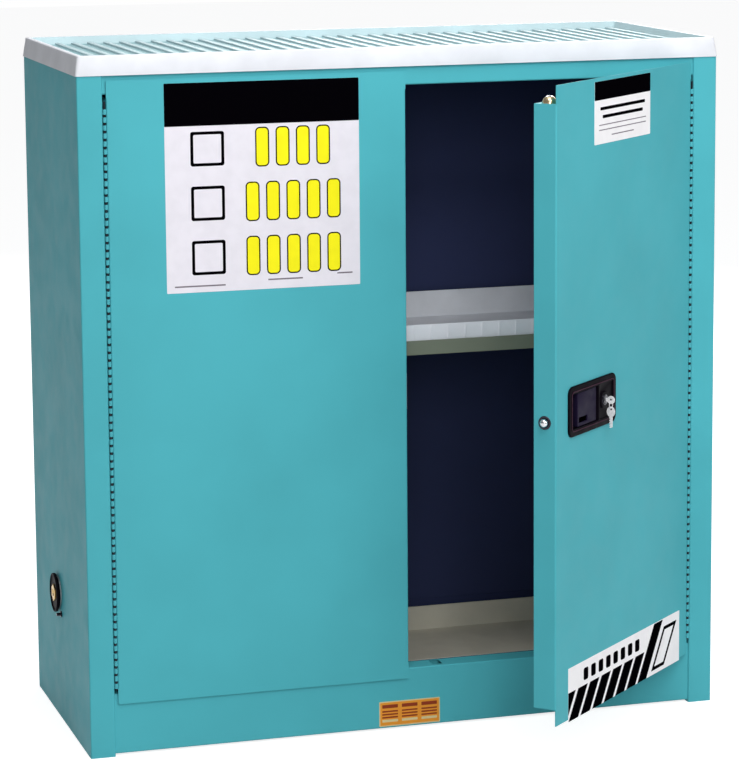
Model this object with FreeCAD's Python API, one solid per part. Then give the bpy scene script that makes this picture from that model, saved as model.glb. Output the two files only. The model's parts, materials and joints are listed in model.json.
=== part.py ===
import FreeCAD, Part
import math
import os
from FreeCAD import Placement, Rotation, Vector

# A two-door safety cabinet for corrosive liquids, folded from sheet steel with a double wall.
# X runs across the cabinet, Y goes back into it and Z is up. While the pieces are drawn, the
# front faces of the stiles lie at Y zero and both doors are shut. Lengths are in millimetres.

# The outer steel box
width = 1092.0
depth = 457.0
height = 1118.0
sheet = 1.2
bend = 1.3
stile_width = 41.5
front_recess = 3.0
jamb_depth = 38.0
back_wall_gap = 38.0
back_flange = 25.0
header_drop = 32.0
header_lap = 14.0
ceiling_lap = 12.0
kick_clearance = 4.0
sill_height = 105.0
sill_depth = 40.0
sill_hole_x = 239.0
sill_hole_radius = 2.5
base_flange = 25.0
base_flange_end_gap = 90.0
base_height = 22.0
top_flange = 15.0

# The inner liner and the leak-proof sump
sump_floor = 54.0
sump_wall = 56.0

# The doors
door_open_angle = 43.0
door_gap = 3.0
door_depth = 39.0
skin_lap_top = 22.5
skin_lap_bottom = 17.0
skin_corner = 4.0
box_clear_top = 7.0
box_clear_bottom = 10.0

# The continuous hinges
barrel_radius = 3.0
pin_radius = 1.5
pin_play = 0.05
leaf_thickness = 1.5
leaf_width = 24.0
knuckle_count = 17
knuckle_gap = 0.4
hinge_clear_bottom = 8.0
hinge_clear_top = 10.0

# The handle, placed from the free edge of the right-hand door
bezel_start = 40.0
bezel_width = 168.0
bezel_height = 81.0
bezel_middle = 588.0
bezel_corner = 13.0
bezel_proud = 3.5
bezel_border = 10.0
bezel_depth = 20.0
bezel_wall = 2.0
bezel_edge = 1.0
bezel_play = 0.5
well_width = 92.0
lock_recess = 2.0
paddle_start = 32.0
paddle_width = 66.0
paddle_height = 54.0
paddle_skin = 2.5
paddle_set_back = 2.0
paddle_lip = 9.0
paddle_cheek = 2.0
paddle_cheek_width = 24.0
notch_width = 30.0
notch_height = 9.0
notch_inset = 5.0
pivot_inset = 4.0
pivot_depth = 8.0
pivot_pin_radius = 2.0
pivot_barrel_radius = 4.5
lever_thickness = 6.0
lever_height = 17.0
lever_rise = 9.0
lever_reach = 17.0
lever_slot_left = 15.0
lever_slot_right = 8.0
lever_slot_play = 2.0

# The rotary cam behind the handle
cam_from_bezel = 65.0
cam_swing = 25.0
cam_arm = 28.0
cam_thickness = 2.0
cam_width = 12.0
cam_pad_radius = 7.0
cam_hub_radius = 9.0
cam_setback = 6.0
cam_pin_radius = 2.5
cam_pin_length = 2.5
cam_axle_radius = 4.0
cam_axle_length = 12.0
finger_arm = 26.0
finger_angle = 33.0
finger_radius = 3.0
finger_length = 5.0

# The three latch bolts and their rods
bolt_depth = 20.0
rod_width = 10.0
rod_thickness = 2.0
rod_play = 0.3
slot_length = 11.0
slot_play = 0.1
slot_edge = 3.0
top_bolt_start = 16.0
top_bolt_radius = 12.0
top_bolt_length = 34.0
top_foot_rise = 52.0
bottom_bolt_start = 52.0
bottom_bolt_radius = 6.5
bottom_bolt_drop = 16.0
bottom_bolt_length = 40.0
bottom_foot_drop = 62.0
bolt_neck = 14.0
bolt_play = 0.5
strike_play = 2.0
sill_slot_front = 12.0
sill_slot_depth = 28.0
side_bolt_drop = 10.0
side_bolt_radius = 7.0
side_bolt_reach = 9.0
side_bolt_length = 44.0
side_bolt_play = 0.3
barrel_collar_radius = 11.0
barrel_collar = 0.8
latch_barrel_radius = 9.0
latch_barrel_length = 26.0
link_width = 12.0
link_neck = 8.0
link_lug = 8.0
link_slot = 7.0
guide_width = 22.0
guide_height = 14.0
guide_wall = 1.5
guide_share = 0.45
strike_width = 34.0
strike_height = 60.0
strike_thickness = 0.5

# The lock and its keys
lock_from_bezel = 125.0
lock_above_middle = 2.0
lock_radius = 9.5
lock_proud = 1.0
lock_length = 24.0
boss_radius = 15.0
boss_proud = 0.5
plug_radius = 6.0
plug_proud = 1.0
turning_play = 0.05
tongue_length = 26.0
tongue_width = 9.0
tongue_thickness = 2.0
key_thickness = 2.0
key_shank = 1.5
key_blade_width = 6.0
key_blade_length = 18.0
key_bow_radius = 7.5
key_hole_radius = 2.2
spare_bow_width = 14.0
spare_bow_height = 17.0
spare_bow_corner = 5.5
spare_hole_inset = 4.0
spare_blade_length = 18.0
spare_blade_width = 5.0
ring_radius = 6.2
ring_wire = 1.2
ring_seat = 1.8

# The slide bolts that hold the left-hand door
slide_start = 30.0
slide_width = 14.0
slide_thickness = 5.0
slide_length = 90.0
slide_travel = 20.0
slide_setback = 7.0
slide_end_gap = 2.0
slide_tab = 12.0
slide_tab_thickness = 6.0
keeper_height = 14.0
keeper_wall = 3.0
keeper_inset = 12.0

# The shelf, the loose trays and what carries them
shelf_height = 628.0
shelf_lip = 24.0
shelf_side_gap = 4.5
shelf_front = 55.0
shelf_back_gap = 4.0
bracket_length = 30.0
bracket_reach = 14.0
bracket_height = 20.0
bracket_inset = 40.0
bracket_thickness = 2.0
tray_wall = 3.0
tray_play = 1.5
tray_corner = 12.0
shelf_tray_height = 49.0
tray_rib_pitch = 30.0
tray_rib_width = 3.0
tray_rib_depth = 1.2
floor_tray_height = 46.0
floor_tray_inset = 14.0

# The ribbed work tray on top
work_lip_drop = 1.5
work_lip_wall = 1.5
work_play = 0.3
work_rise = 30.5
work_draft = 4.5
work_wall = 4.0
work_rim = 8.0
work_floor = 17.5
work_inner_slope = 5.0
work_corner = 5.0
work_rib_pitch = 28.0
work_rib_width = 9.0
work_rib_height = 3.0
work_rib_end_gap = 4.0

# The vents, the ground stud and the levelling feet
vent_from_front = 255.0
vent_height = 219.0
vent_bore_radius = 23.8
vent_sleeve_wall = 2.2
vent_seat_play = 0.1
vent_lip_radius = 29.0
vent_lip = 1.5
bung_radius = 33.0
bung_flange = 4.0
bung_play = 0.3
bung_body = 20.0
bung_wall = 3.0
bung_hub_radius = 15.0
bung_hub = 3.5
bung_rim = 3.5
bung_rim_height = 1.0
screen_thickness = 2.0
screen_setback = 2.0
screen_slots = 5
screen_slot_share = 0.5
stud_from_front = 228.0
stud_height = 187.0
stud_radius = 3.0
stud_length = 9.0
stud_base_radius = 5.5
stud_base = 2.5
foot_inset = 21.0
foot_setback = 60.0
foot_lift = 2.0
foot_pad_radius = 14.0
foot_pad = 7.0
foot_stem_radius = 5.0
foot_stem = 42.0
foot_play = 0.1
nut_radius = 9.0
nut_height = 9.0

overrun = 5.0

# Small round pieces and holes have flat sides, fewer the smaller they are. Pins, axles and the
# ground stud are round.
hexagon_sides = 6
tiny_sides = 8
small_sides = 12
round_sides = 16
vent_sides = 20
dome_turns = (0, 30, 60, 80)

# Places worked out from the sizes above
half_width = width / 2
inside_x = half_width - sheet
jamb_x = half_width - stile_width
hinge_x = jamb_x - barrel_radius
door_free_x = door_gap / 2
door_hinge_x = hinge_x - barrel_radius
header_bottom = height - header_drop
roof = height - sheet
inner_back = depth - back_wall_gap
sill_back = front_recess + sill_depth
box_top = header_bottom - box_clear_top
box_bottom = sill_height + box_clear_bottom
skin_top = header_bottom + skin_lap_top
skin_bottom = sill_height - skin_lap_bottom
hinge_bottom = sill_height + hinge_clear_bottom
hinge_top = header_bottom - hinge_clear_top
bezel_left = door_free_x + bezel_start
bezel_right = bezel_left + bezel_width
bezel_bottom = bezel_middle - bezel_height / 2
bezel_top = bezel_middle + bezel_height / 2
side_bolt_height = bezel_middle - side_bolt_drop
well_left = bezel_left + bezel_border + bezel_wall
well_right = well_left + well_width
well_bottom = bezel_bottom + bezel_border + bezel_wall
well_top = bezel_top - bezel_border - bezel_wall
paddle_left = bezel_left + paddle_start
paddle_right = paddle_left + paddle_width
paddle_front = bezel_proud - paddle_set_back
pivot_x = paddle_right - pivot_inset
cam_x = bezel_left + cam_from_bezel
cam_front = bezel_depth + cam_setback
rod_front = cam_front + cam_thickness
rod_back = rod_front + rod_thickness
lock_x = bezel_left + lock_from_bezel
lock_z = bezel_middle + lock_above_middle
lock_front = bezel_proud + boss_proud + lock_proud
key_centre = lock_front + plug_proud + key_shank + key_bow_radius
ring_drop = ring_radius - ring_wire / 2 + ring_seat
top_bolt_x = door_free_x + top_bolt_start
bottom_bolt_x = door_free_x + bottom_bolt_start
slide_x = -(door_free_x + slide_start)
slide_front = door_depth + slide_setback
slide_back = slide_front + slide_thickness
shelf_tray_top = shelf_height + sheet + shelf_tray_height
work_bottom = height - work_lip_drop
work_top = height + work_rise
work_half = half_width + work_play + work_lip_wall
work_overhang = work_play + work_lip_wall
foot_x = half_width - foot_inset
rest_front = -(hinge_x - door_free_x) * math.sin(math.radians(door_open_angle))
rest_back = depth + work_overhang
middle_y = (rest_front + rest_back) / 2

EAST = Vector(1, 0, 0)
NORTH = Vector(0, 1, 0)
UP = Vector(0, 0, 1)
ORIGIN = Vector(0, 0, 0)


def block(x0, x1, y0, y1, z0, z1):
    """A box between two opposite corners."""
    return Part.makeBox(x1 - x0, y1 - y0, z1 - z0, Vector(x0, y0, z0))


def polygon(sides, radius, z):
    """The corners of a level regular polygon, the first one twice so that they close."""
    turns = [2 * math.pi * i / sides for i in range(sides + 1)]
    return [Vector(radius * math.cos(turn), radius * math.sin(turn), z) for turn in turns]


def flat_face(corners):
    """A flat face between corners that close."""
    return Part.Face(Part.makePolygon(corners))


def flat_sided(outlines):
    """A solid whose flat sides join each outline to the next."""
    faces = [flat_face(outlines[0]), flat_face(outlines[-1])]
    for low, high in zip(outlines, outlines[1:]):
        for a, b, c, d in zip(low, low[1:], high[1:], high):
            faces.append(flat_face([a, b, c, d, a]))
    return Part.Solid(Part.Shell(faces))


def regular_prism(sides, radius, start, direction, length):
    """A prism over a regular polygon, such as a nut or a flat-sided round bar."""
    prism = flat_face(polygon(sides, radius, 0)).extrude(UP * length)
    prism.Placement = Placement(start, Rotation(UP, direction))
    return prism


def clear_bore(sides, radius, start, direction, length):
    """A flat-sided bore that a round bar of the radius just turns in."""
    return regular_prism(sides, radius / math.cos(math.pi / sides), start, direction, length)


def ring_prism(sides, outer, inner, start, direction, length):
    """A flat-sided tube from a start point along a direction."""
    return regular_prism(sides, outer, start, direction, length).cut(
        regular_prism(sides, inner, start, direction, length))


def join(first, *others):
    """One solid from several that touch or overlap."""
    return first.fuse(list(others)).removeSplitter()


def group(*pieces):
    """Separate solids that share one node."""
    return Part.makeCompound(list(pieces))


def mirrored(shape):
    """The same piece on the other side of the cabinet."""
    return shape.mirror(ORIGIN, EAST)


def line(a, b):
    """A straight edge between two points."""
    return Part.LineSegment(a, b).toShape()


def face_between(edges):
    """A flat face inside a closed loop of edges."""
    return Part.Face(Part.Wire(Part.__sortEdges__(edges)))


def rounded_path(points, radii):
    """The edges of an open 2-D path whose inner corners are rounded, each by its own radius."""
    corners = [Vector(x, y, 0) for x, y in points]
    edges = []
    here = corners[0]
    for before, corner, after, radius in zip(corners, corners[1:], corners[2:], radii):
        inward = (before - corner).normalize()
        onward = (after - corner).normalize()
        half_turn = (math.pi - inward.getAngle(onward)) / 2
        start = corner + inward * (radius * math.tan(half_turn))
        end = corner + onward * (radius * math.tan(half_turn))
        towards = (inward + onward).normalize()
        centre = corner + towards * (radius / math.cos(half_turn))
        edges.append(line(here, start))
        edges.append(Part.Arc(start, centre - towards * radius, end).toShape())
        here = end
    edges.append(line(here, corners[-1]))
    return edges


def folded_sheet(points, length):
    """Sheet folded along a path in the XY plane and drawn up along Z.

    The path is one face of the sheet, and the thickness lies on its left.
    """
    steps = [Vector(b[0] - a[0], b[1] - a[1], 0).normalize() for a, b in zip(points, points[1:])]
    normals = [Vector(-step.y, step.x, 0) for step in steps]
    first = Vector(points[0][0], points[0][1], 0)
    last = Vector(points[-1][0], points[-1][1], 0)
    far = [first + normals[0] * sheet]
    near_radii = []
    far_radii = []
    for point, n0, n1, s0, s1 in zip(points[1:], normals, normals[1:], steps, steps[1:]):
        far.append(Vector(point[0], point[1], 0) + (n0 + n1) * (sheet / (1 + n0.dot(n1))))
        left_turn = s0.cross(s1).z > 0
        near_radii.append(bend + sheet if left_turn else bend)
        far_radii.append(bend if left_turn else bend + sheet)
    far.append(last + normals[-1] * sheet)
    edges = rounded_path(points, near_radii)
    edges += rounded_path([(p.x, p.y) for p in far], far_radii)
    edges += [line(first, far[0]), line(last, far[-1])]
    return face_between(edges).extrude(UP * length)


def along_x(shape, start):
    """Turn a piece drawn up along Z over (y, z) points so that it runs along X from its start."""
    shape = shape.copy()
    shape.Placement = Placement(Vector(start, 0, 0), Rotation(Vector(1, 1, 1), 120))
    return shape


def rounded_loop(x0, x1, y0, y1, z, radius):
    """A level rectangle with round corners."""
    middle = (x0 + x1) / 2
    points = [(middle, y0), (x1, y0), (x1, y1), (x0, y1), (x0, y0), (middle, y0)]
    loop = Part.Wire(Part.__sortEdges__(rounded_path(points, [radius] * 4)))
    loop.translate(UP * z)
    return loop


def rounded_block(x0, x1, y0, y1, z0, z1, radius):
    """A block whose four upright corners are round."""
    return Part.Face(rounded_loop(x0, x1, y0, y1, z0, radius)).extrude(UP * (z1 - z0))


def tapered_block(x0, x1, y0, y1, z0, z1, draft, radius):
    """A block with round upright corners whose sides draw in by the draft towards the top."""
    low = rounded_loop(x0, x1, y0, y1, z0, radius)
    high = rounded_loop(x0 + draft, x1 - draft, y0 + draft, y1 - draft, z1, radius)
    return Part.makeLoft([low, high], True, True)


def sloped_block(x0, x1, y0, y1, z0, z1, draft):
    """A block with sharp corners whose sides draw in by the draft towards the top."""
    outlines = []
    for z, inset in ((z0, 0), (z1, draft)):
        a, b, c, d = x0 + inset, x1 - inset, y0 + inset, y1 - inset
        outlines.append([Vector(a, c, z), Vector(b, c, z), Vector(b, d, z), Vector(a, d, z), Vector(a, c, z)])
    return flat_sided(outlines)


def domed_bar(radius, length, start, direction):
    """A flat-sided bar from a start point that ends in a dome of its own radius."""
    shoulder = length - radius
    outlines = [polygon(round_sides, radius, 0)]
    for degrees in dome_turns:
        turn = math.radians(degrees)
        outlines.append(polygon(round_sides, radius * math.cos(turn), shoulder + radius * math.sin(turn)))
    bar = flat_sided(outlines)
    bar.Placement = Placement(start, Rotation(UP, direction))
    return bar


def upright(shape):
    """Stand up a piece drawn on its back, so that its height becomes Z and its front faces -Y."""
    shape = shape.copy()
    shape.rotate(ORIGIN, EAST, 90)
    return shape


# The outer box

def side_panel():
    """Right-hand side: jamb, front stile, outer side and back flange folded from one sheet."""
    path = [(jamb_x, jamb_depth), (jamb_x, 0), (half_width, 0), (half_width, depth),
            (half_width - back_flange, depth)]
    foot = block(half_width - base_flange, inside_x, base_flange_end_gap, depth - base_flange_end_gap,
                 0, sheet)
    return join(folded_sheet(path, roof), foot).cut(vent_hole(inside_x))


def left_side_panel():
    """The left-hand side, which also takes the ground stud."""
    place = Vector(-half_width, stud_from_front, stud_height)
    hole = clear_bore(small_sides, stud_radius, place, EAST, 2 * sheet)
    return mirrored(side_panel()).cut(hole)


def vent_hole(x):
    """The hole that a vent sleeve leaves in a sheet that starts at x."""
    start = Vector(x - overrun, vent_from_front, vent_height)
    radius = vent_bore_radius + vent_sleeve_wall + vent_seat_play
    return regular_prism(vent_sides, radius, start, EAST, sheet + 2 * overrun)


def back_panel():
    """Outer back, held in front of the side panels' back flanges."""
    reach = inside_x - bend
    return block(-reach, reach, depth - 2 * sheet, depth - sheet, kick_clearance, roof)


def top_panel():
    """Outer top with flanges turned down inside the side panels."""
    plate = block(-half_width, half_width, 0, depth, roof, height)
    flange = block(inside_x - sheet, inside_x, jamb_depth, depth - back_flange, roof - top_flange, roof)
    return join(plate, flange, mirrored(flange))


def foot_places():
    """Where the four levelling feet stand."""
    return [(x, y) for x in (-foot_x, foot_x) for y in (foot_setback, depth - foot_setback)]


def foot_bore(x, y):
    """The bore that one foot's stem runs in."""
    return regular_prism(tiny_sides, foot_stem_radius + foot_play, Vector(x, y, 0), UP, 2 * base_height)


def base_panel():
    """Outer bottom, cut away round the jambs and bored for the levelling feet."""
    plate = block(-inside_x, inside_x, front_recess + sheet, depth - 2 * sheet,
                  base_height - sheet, base_height)
    corner = block(jamb_x, half_width, 0, jamb_depth, 0, base_height + overrun)
    return plate.cut([corner, mirrored(corner)] + [foot_bore(x, y) for x, y in foot_places()])


def header_rail():
    """Channel across the top of the door opening, with the strike hole for the top latch."""
    path = [(front_recess + top_flange, roof), (front_recess, roof), (front_recess, header_bottom),
            (jamb_depth, header_bottom), (jamb_depth, header_bottom + header_lap)]
    rail = along_x(folded_sheet(path, 2 * jamb_x), -jamb_x)
    strike = clear_bore(round_sides, top_bolt_radius + strike_play,
                        Vector(top_bolt_x, bolt_depth, header_bottom - overrun), UP, 2 * overrun)
    return rail.cut(strike)


def sill_rail():
    """Kick plate and raised sill, with the strike slot for the bottom latch."""
    path = [(sill_back, sump_floor), (sill_back, sill_height), (front_recess, sill_height),
            (front_recess, kick_clearance), (front_recess + base_flange, kick_clearance)]
    rail = along_x(folded_sheet(path, 2 * jamb_x), -jamb_x)
    half_slot = bottom_bolt_radius + strike_play
    slot = block(bottom_bolt_x - half_slot, bottom_bolt_x + half_slot, sill_slot_front,
                 sill_slot_front + sill_slot_depth, sill_height - overrun, sill_height + overrun)
    hole_start = Vector(sill_hole_x, sill_slot_depth, sill_height - overrun)
    hole = regular_prism(tiny_sides, sill_hole_radius, hole_start, UP, 2 * overrun)
    return rail.cut([slot, hole])


# The liner

def liner_side():
    """Right-hand inner side, flush with the jamb."""
    sheet_side = block(jamb_x, jamb_x + sheet, jamb_depth, inner_back, sump_floor, header_bottom)
    return sheet_side.cut(vent_hole(jamb_x))


def liner_back():
    """Inner back."""
    reach = jamb_x + sheet
    return block(-reach, reach, inner_back, inner_back + sheet, sump_floor, header_bottom + sheet)


def liner_ceiling():
    """Inner ceiling, turned up behind the channel that the left-hand door's top slide bolt enters."""
    reach = jamb_x + sheet
    front = slide_back + strike_play
    ceiling = block(-reach, reach, front, inner_back, header_bottom, header_bottom + sheet)
    lap = block(-jamb_x, jamb_x, front, front + sheet, header_bottom, header_bottom + ceiling_lap)
    return join(ceiling, lap)


def sump_pan():
    """Inner floor with upturned walls that hold a spill."""
    top = sump_floor + sump_wall
    pan = block(-jamb_x, jamb_x, sill_back, inner_back, sump_floor, top)
    hollow = block(-jamb_x + sheet, jamb_x - sheet, sill_back + sheet, inner_back - sheet,
                   sump_floor + sheet, top + overrun)
    low_front = block(-jamb_x, jamb_x, 0, sill_back + sheet, sill_height, top + overrun)
    return pan.cut([hollow, low_front])


# The shelf and the loose trays

def shelf():
    """Steel shelf with a lip turned up all round."""
    x = jamb_x - shelf_side_gap
    back = inner_back - shelf_back_gap
    pan = block(-x, x, shelf_front, back, shelf_height, shelf_height + shelf_lip)
    hollow = block(-x + sheet, x - sheet, shelf_front + sheet, back - sheet, shelf_height + sheet,
                   shelf_height + shelf_lip + overrun)
    return pan.cut(hollow)


def shelf_brackets():
    """Four angle brackets on the liner that carry the shelf."""
    brackets = []
    for y in (shelf_front + bracket_inset, inner_back - bracket_inset - bracket_length):
        wall = block(jamb_x - bracket_thickness, jamb_x, y, y + bracket_length,
                     shelf_height - bracket_height, shelf_height)
        ledge = block(jamb_x - bracket_reach, jamb_x, y, y + bracket_length,
                      shelf_height - bracket_thickness, shelf_height)
        bracket = join(wall, ledge)
        brackets += [bracket, mirrored(bracket)]
    return group(*brackets)


def moulded_tray(x, front, back, bottom, tray_height):
    """An open plastic tray with round corners."""
    outside = rounded_block(-x, x, front, back, bottom, bottom + tray_height, tray_corner)
    hollow = rounded_block(-x + tray_wall, x - tray_wall, front + tray_wall, back - tray_wall,
                           bottom + tray_wall, bottom + tray_height + overrun, tray_corner - tray_wall)
    return outside.cut(hollow)


def shelf_tray():
    """White tray that stands in the shelf, ribbed along its front above the shelf's lip."""
    x = jamb_x - shelf_side_gap - sheet - tray_play
    front = shelf_front + sheet + tray_play
    back = inner_back - shelf_back_gap - sheet - tray_play
    tray = moulded_tray(x, front, back, shelf_height + sheet, shelf_tray_height)
    low = shelf_height + shelf_lip + tray_play
    count = int(2 * (x - tray_corner) / tray_rib_pitch)
    ribs = []
    for i in range(count + 1):
        middle = (i - count / 2) * tray_rib_pitch
        ribs.append(block(middle - tray_rib_width / 2, middle + tray_rib_width / 2, front - tray_rib_depth,
                          front, low, shelf_tray_top - tray_play))
    return join(tray, *ribs)


def floor_tray():
    """Tray that stands in the sump."""
    x = jamb_x - sheet - floor_tray_inset
    front = sill_back + sheet + floor_tray_inset
    back = inner_back - sheet - floor_tray_inset
    return moulded_tray(x, front, back, sump_floor + sheet, floor_tray_height)


def work_tray():
    """Ribbed tray on top of the cabinet, hollow below its floor, with a lip round the steel top."""
    slope = work_draft / (work_top - work_bottom)
    low_front = -work_overhang
    low_back = depth + work_overhang
    body = tapered_block(-work_half, work_half, low_front, low_back, work_bottom, work_top, work_draft,
                         work_corner)
    socket_x = half_width + work_play
    socket = block(-socket_x, socket_x, -work_play, depth + work_play, work_bottom - overrun, height)
    floor = height + work_floor
    inset = work_draft + work_rim
    floor_inset = inset + work_inner_slope
    recess = tapered_block(-work_half + floor_inset, work_half - floor_inset, low_front + floor_inset,
                           low_back - floor_inset, floor, work_top, -work_inner_slope, work_corner)
    skirt = work_wall + slope * work_lip_drop
    ceiling = floor - work_wall
    cavity = sloped_block(-work_half + skirt, work_half - skirt, low_front + skirt, low_back - skirt,
                          height, ceiling, slope * (ceiling - height))
    tray = body.cut([socket, recess, cavity])
    rib_x = work_half - floor_inset - work_corner
    rib_front = low_front + floor_inset + work_rib_end_gap
    rib_back = low_back - floor_inset - work_rib_end_gap
    count = int(2 * rib_x / work_rib_pitch)
    ribs = []
    for i in range(count + 1):
        middle = (i - count / 2) * work_rib_pitch
        ribs.append(block(middle - work_rib_width / 2, middle + work_rib_width / 2, rib_front, rib_back,
                          floor, floor + work_rib_height))
    return join(tray, *ribs)


# The vents, the ground stud and the levelling feet

def vent_sleeve():
    """Steel sleeve through the right-hand double wall, with an outside lip."""
    start = Vector(jamb_x, vent_from_front, vent_height)
    outside = Vector(half_width, vent_from_front, vent_height)
    sleeve = regular_prism(vent_sides, vent_bore_radius + vent_sleeve_wall, start, EAST, half_width - jamb_x)
    lip = regular_prism(vent_sides, vent_lip_radius, outside, EAST, vent_lip)
    bore = regular_prism(vent_sides, vent_bore_radius, start - EAST * overrun, EAST,
                         stile_width + vent_lip + 2 * overrun)
    return join(sleeve, lip).cut(bore)


def vent_screen():
    """Slotted flame screen at the inner end of the right-hand sleeve."""
    radius = vent_bore_radius - vent_seat_play
    x = jamb_x + screen_setback
    centre = Vector(x, vent_from_front, vent_height)
    screen = regular_prism(vent_sides, radius, centre, EAST, screen_thickness)
    pitch = 2 * radius / (screen_slots + 1)
    slots = []
    for i in range(screen_slots):
        off_centre = (i - (screen_slots - 1) / 2) * pitch
        reach = math.sqrt((radius - pitch / 2) ** 2 - off_centre ** 2)
        half_slot = pitch * screen_slot_share / 2
        slots.append(block(x - overrun, x + overrun, vent_from_front - reach, vent_from_front + reach,
                           vent_height + off_centre - half_slot, vent_height + off_centre + half_slot))
    return screen.cut(slots)


def vent_bung():
    """Plug for the right-hand vent: a hollow body, a flange with a raised rim and a hexagon to grip."""
    x = half_width + vent_lip
    centre = Vector(x, vent_from_front, vent_height)
    flange = regular_prism(vent_sides, bung_radius, centre, EAST, bung_flange)
    face = centre + EAST * bung_flange
    rim = ring_prism(vent_sides, bung_radius, bung_radius - bung_rim, face, EAST, bung_rim_height)
    hub = regular_prism(hexagon_sides, bung_hub_radius, face, EAST, bung_hub)
    body_radius = vent_bore_radius - bung_play
    body = ring_prism(vent_sides, body_radius, body_radius - bung_wall, centre - EAST * bung_body, EAST,
                      bung_body)
    return join(flange, rim, hub, body)


def ground_stud():
    """Stud on the left-hand side for a ground wire, with its hexagon base."""
    start = Vector(-half_width, stud_from_front, stud_height)
    base = regular_prism(hexagon_sides, stud_base_radius, start, -EAST, stud_base)
    stud = Part.makeCylinder(stud_radius, sheet + stud_length, start + EAST * sheet, -EAST)
    return join(base, stud)


def foot_nuts():
    """Nuts welded to the base that the levelling feet turn in."""
    nuts = []
    for x, y in foot_places():
        nut = regular_prism(hexagon_sides, nut_radius, Vector(x, y, base_height), UP, nut_height)
        nuts.append(nut.cut(foot_bore(x, y)))
    return group(*nuts)


def levelling_foot(x, y):
    """One foot, drawn screwed right in."""
    pad = regular_prism(hexagon_sides, foot_pad_radius, Vector(x, y, foot_lift), UP, foot_pad)
    stem = regular_prism(tiny_sides, foot_stem_radius, Vector(x, y, foot_lift + foot_pad), UP, foot_stem)
    return join(pad, stem)


# The doors

def door_skin():
    """Outer door sheet with two side flanges, and laps above and below the box."""
    path = [(door_free_x, door_depth), (door_free_x, 0), (door_hinge_x, 0), (door_hinge_x, door_depth)]
    channel = folded_sheet(path, box_top - box_bottom)
    channel.translate(UP * box_bottom)
    lap_top = block(door_free_x, door_hinge_x, 0, sheet, box_top, skin_top)
    outline = [(door_free_x, box_bottom), (door_free_x, skin_bottom), (door_hinge_x, skin_bottom),
               (door_hinge_x, box_bottom)]
    edges = rounded_path(outline, [bend, skin_corner])
    edges.append(line(Vector(door_hinge_x, box_bottom, 0), Vector(door_free_x, box_bottom, 0)))
    lap_bottom = upright(face_between(edges).extrude(UP * -sheet))
    return join(channel, lap_top, lap_bottom)


def door_pan():
    """Inner door pan, nested between the skin's flanges."""
    x0 = door_free_x + sheet
    x1 = door_hinge_x - sheet
    pan = block(x0, x1, sheet, door_depth, box_bottom, box_top)
    hollow = block(x0 + sheet, x1 - sheet, 0, door_depth - sheet, box_bottom + sheet, box_top - sheet)
    relief_free = block(x0, x0 + bend, 0, sheet + bend, box_bottom, box_top)
    relief_hinge = block(x1 - bend, x1, 0, sheet + bend, box_bottom, box_top)
    return pan.cut([hollow, relief_free, relief_hinge])


def side_latch_hole(radius, x):
    """A hole through a door's free edge at the side latch."""
    start = Vector(x, bolt_depth, side_bolt_height)
    return regular_prism(round_sides, radius, start, EAST, 2 * (sheet + overrun))


def right_door_skin():
    """Right-hand skin with the handle opening and the side latch hole."""
    opening = block(bezel_left + bezel_border - bezel_play, bezel_right - bezel_border + bezel_play,
                    -overrun, sheet + overrun, bezel_bottom + bezel_border - bezel_play,
                    bezel_top - bezel_border + bezel_play)
    latch = side_latch_hole(latch_barrel_radius + turning_play, door_free_x - overrun)
    return door_skin().cut([opening, latch])


def right_door_pan():
    """Right-hand pan with holes for the three latch bolts."""
    latch = side_latch_hole(latch_barrel_radius + turning_play, door_free_x - overrun)
    top = clear_bore(round_sides, top_bolt_radius + bolt_play,
                     Vector(top_bolt_x, bolt_depth, box_top - overrun), UP, 2 * overrun)
    bottom = clear_bore(round_sides, bottom_bolt_radius + bolt_play,
                        Vector(bottom_bolt_x, bolt_depth, box_bottom - overrun), UP, 2 * overrun)
    return door_pan().cut([latch, top, bottom])


def left_door_skin():
    """Left-hand skin with the hole that takes the side latch."""
    latch = side_latch_hole(side_bolt_radius + strike_play, -door_free_x - sheet - overrun)
    return mirrored(door_skin()).cut(latch)


def left_door_pan():
    """Left-hand pan with the hole that takes the side latch."""
    latch = side_latch_hole(side_bolt_radius + strike_play, -door_free_x - sheet - overrun)
    return mirrored(door_pan()).cut(latch)


def strike_plate():
    """Plate on the left-hand door's free edge round the side latch hole."""
    x = -door_free_x
    plate = block(x, x + strike_thickness, bolt_depth - strike_width / 2, bolt_depth + strike_width / 2,
                  side_bolt_height - strike_height / 2, side_bolt_height + strike_height / 2)
    return plate.cut(side_latch_hole(side_bolt_radius + strike_play, x - overrun))


# The continuous hinges

def hinge_leaf(towards, first):
    """One leaf of the right-hand hinge: a strip with every other knuckle curled round the pin.

    The strip lies on the side of the pin that towards gives, 1 for the jamb and -1 for the door.
    """
    pitch = (hinge_top - hinge_bottom) / knuckle_count
    outer_x = hinge_x + towards * barrel_radius
    inner_x = outer_x - towards * leaf_thickness
    x0, x1 = min(outer_x, inner_x), max(outer_x, inner_x)
    clear = barrel_radius + knuckle_gap
    strip = block(x0, x1, clear, leaf_width, hinge_bottom, hinge_top)
    centre = Vector(hinge_x, 0, 0)
    length = pitch - knuckle_gap
    curl = join(regular_prism(tiny_sides, barrel_radius, centre, UP, length),
                block(x0, x1, 0, clear, 0, length))
    curl = curl.cut(clear_bore(hexagon_sides, pin_radius + pin_play, centre, UP, length))
    knuckles = []
    for i in range(first, knuckle_count, 2):
        knuckle = curl.copy()
        knuckle.translate(UP * (hinge_bottom + i * pitch + knuckle_gap / 2))
        knuckles.append(knuckle)
    return join(strip, *knuckles)


def hinge_pin():
    """The long pin of the right-hand hinge."""
    return Part.makeCylinder(pin_radius, hinge_top - hinge_bottom, Vector(hinge_x, 0, hinge_bottom), UP)


# The handle, drawn lying on its back: Y is its height and Z points out of the door

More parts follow.
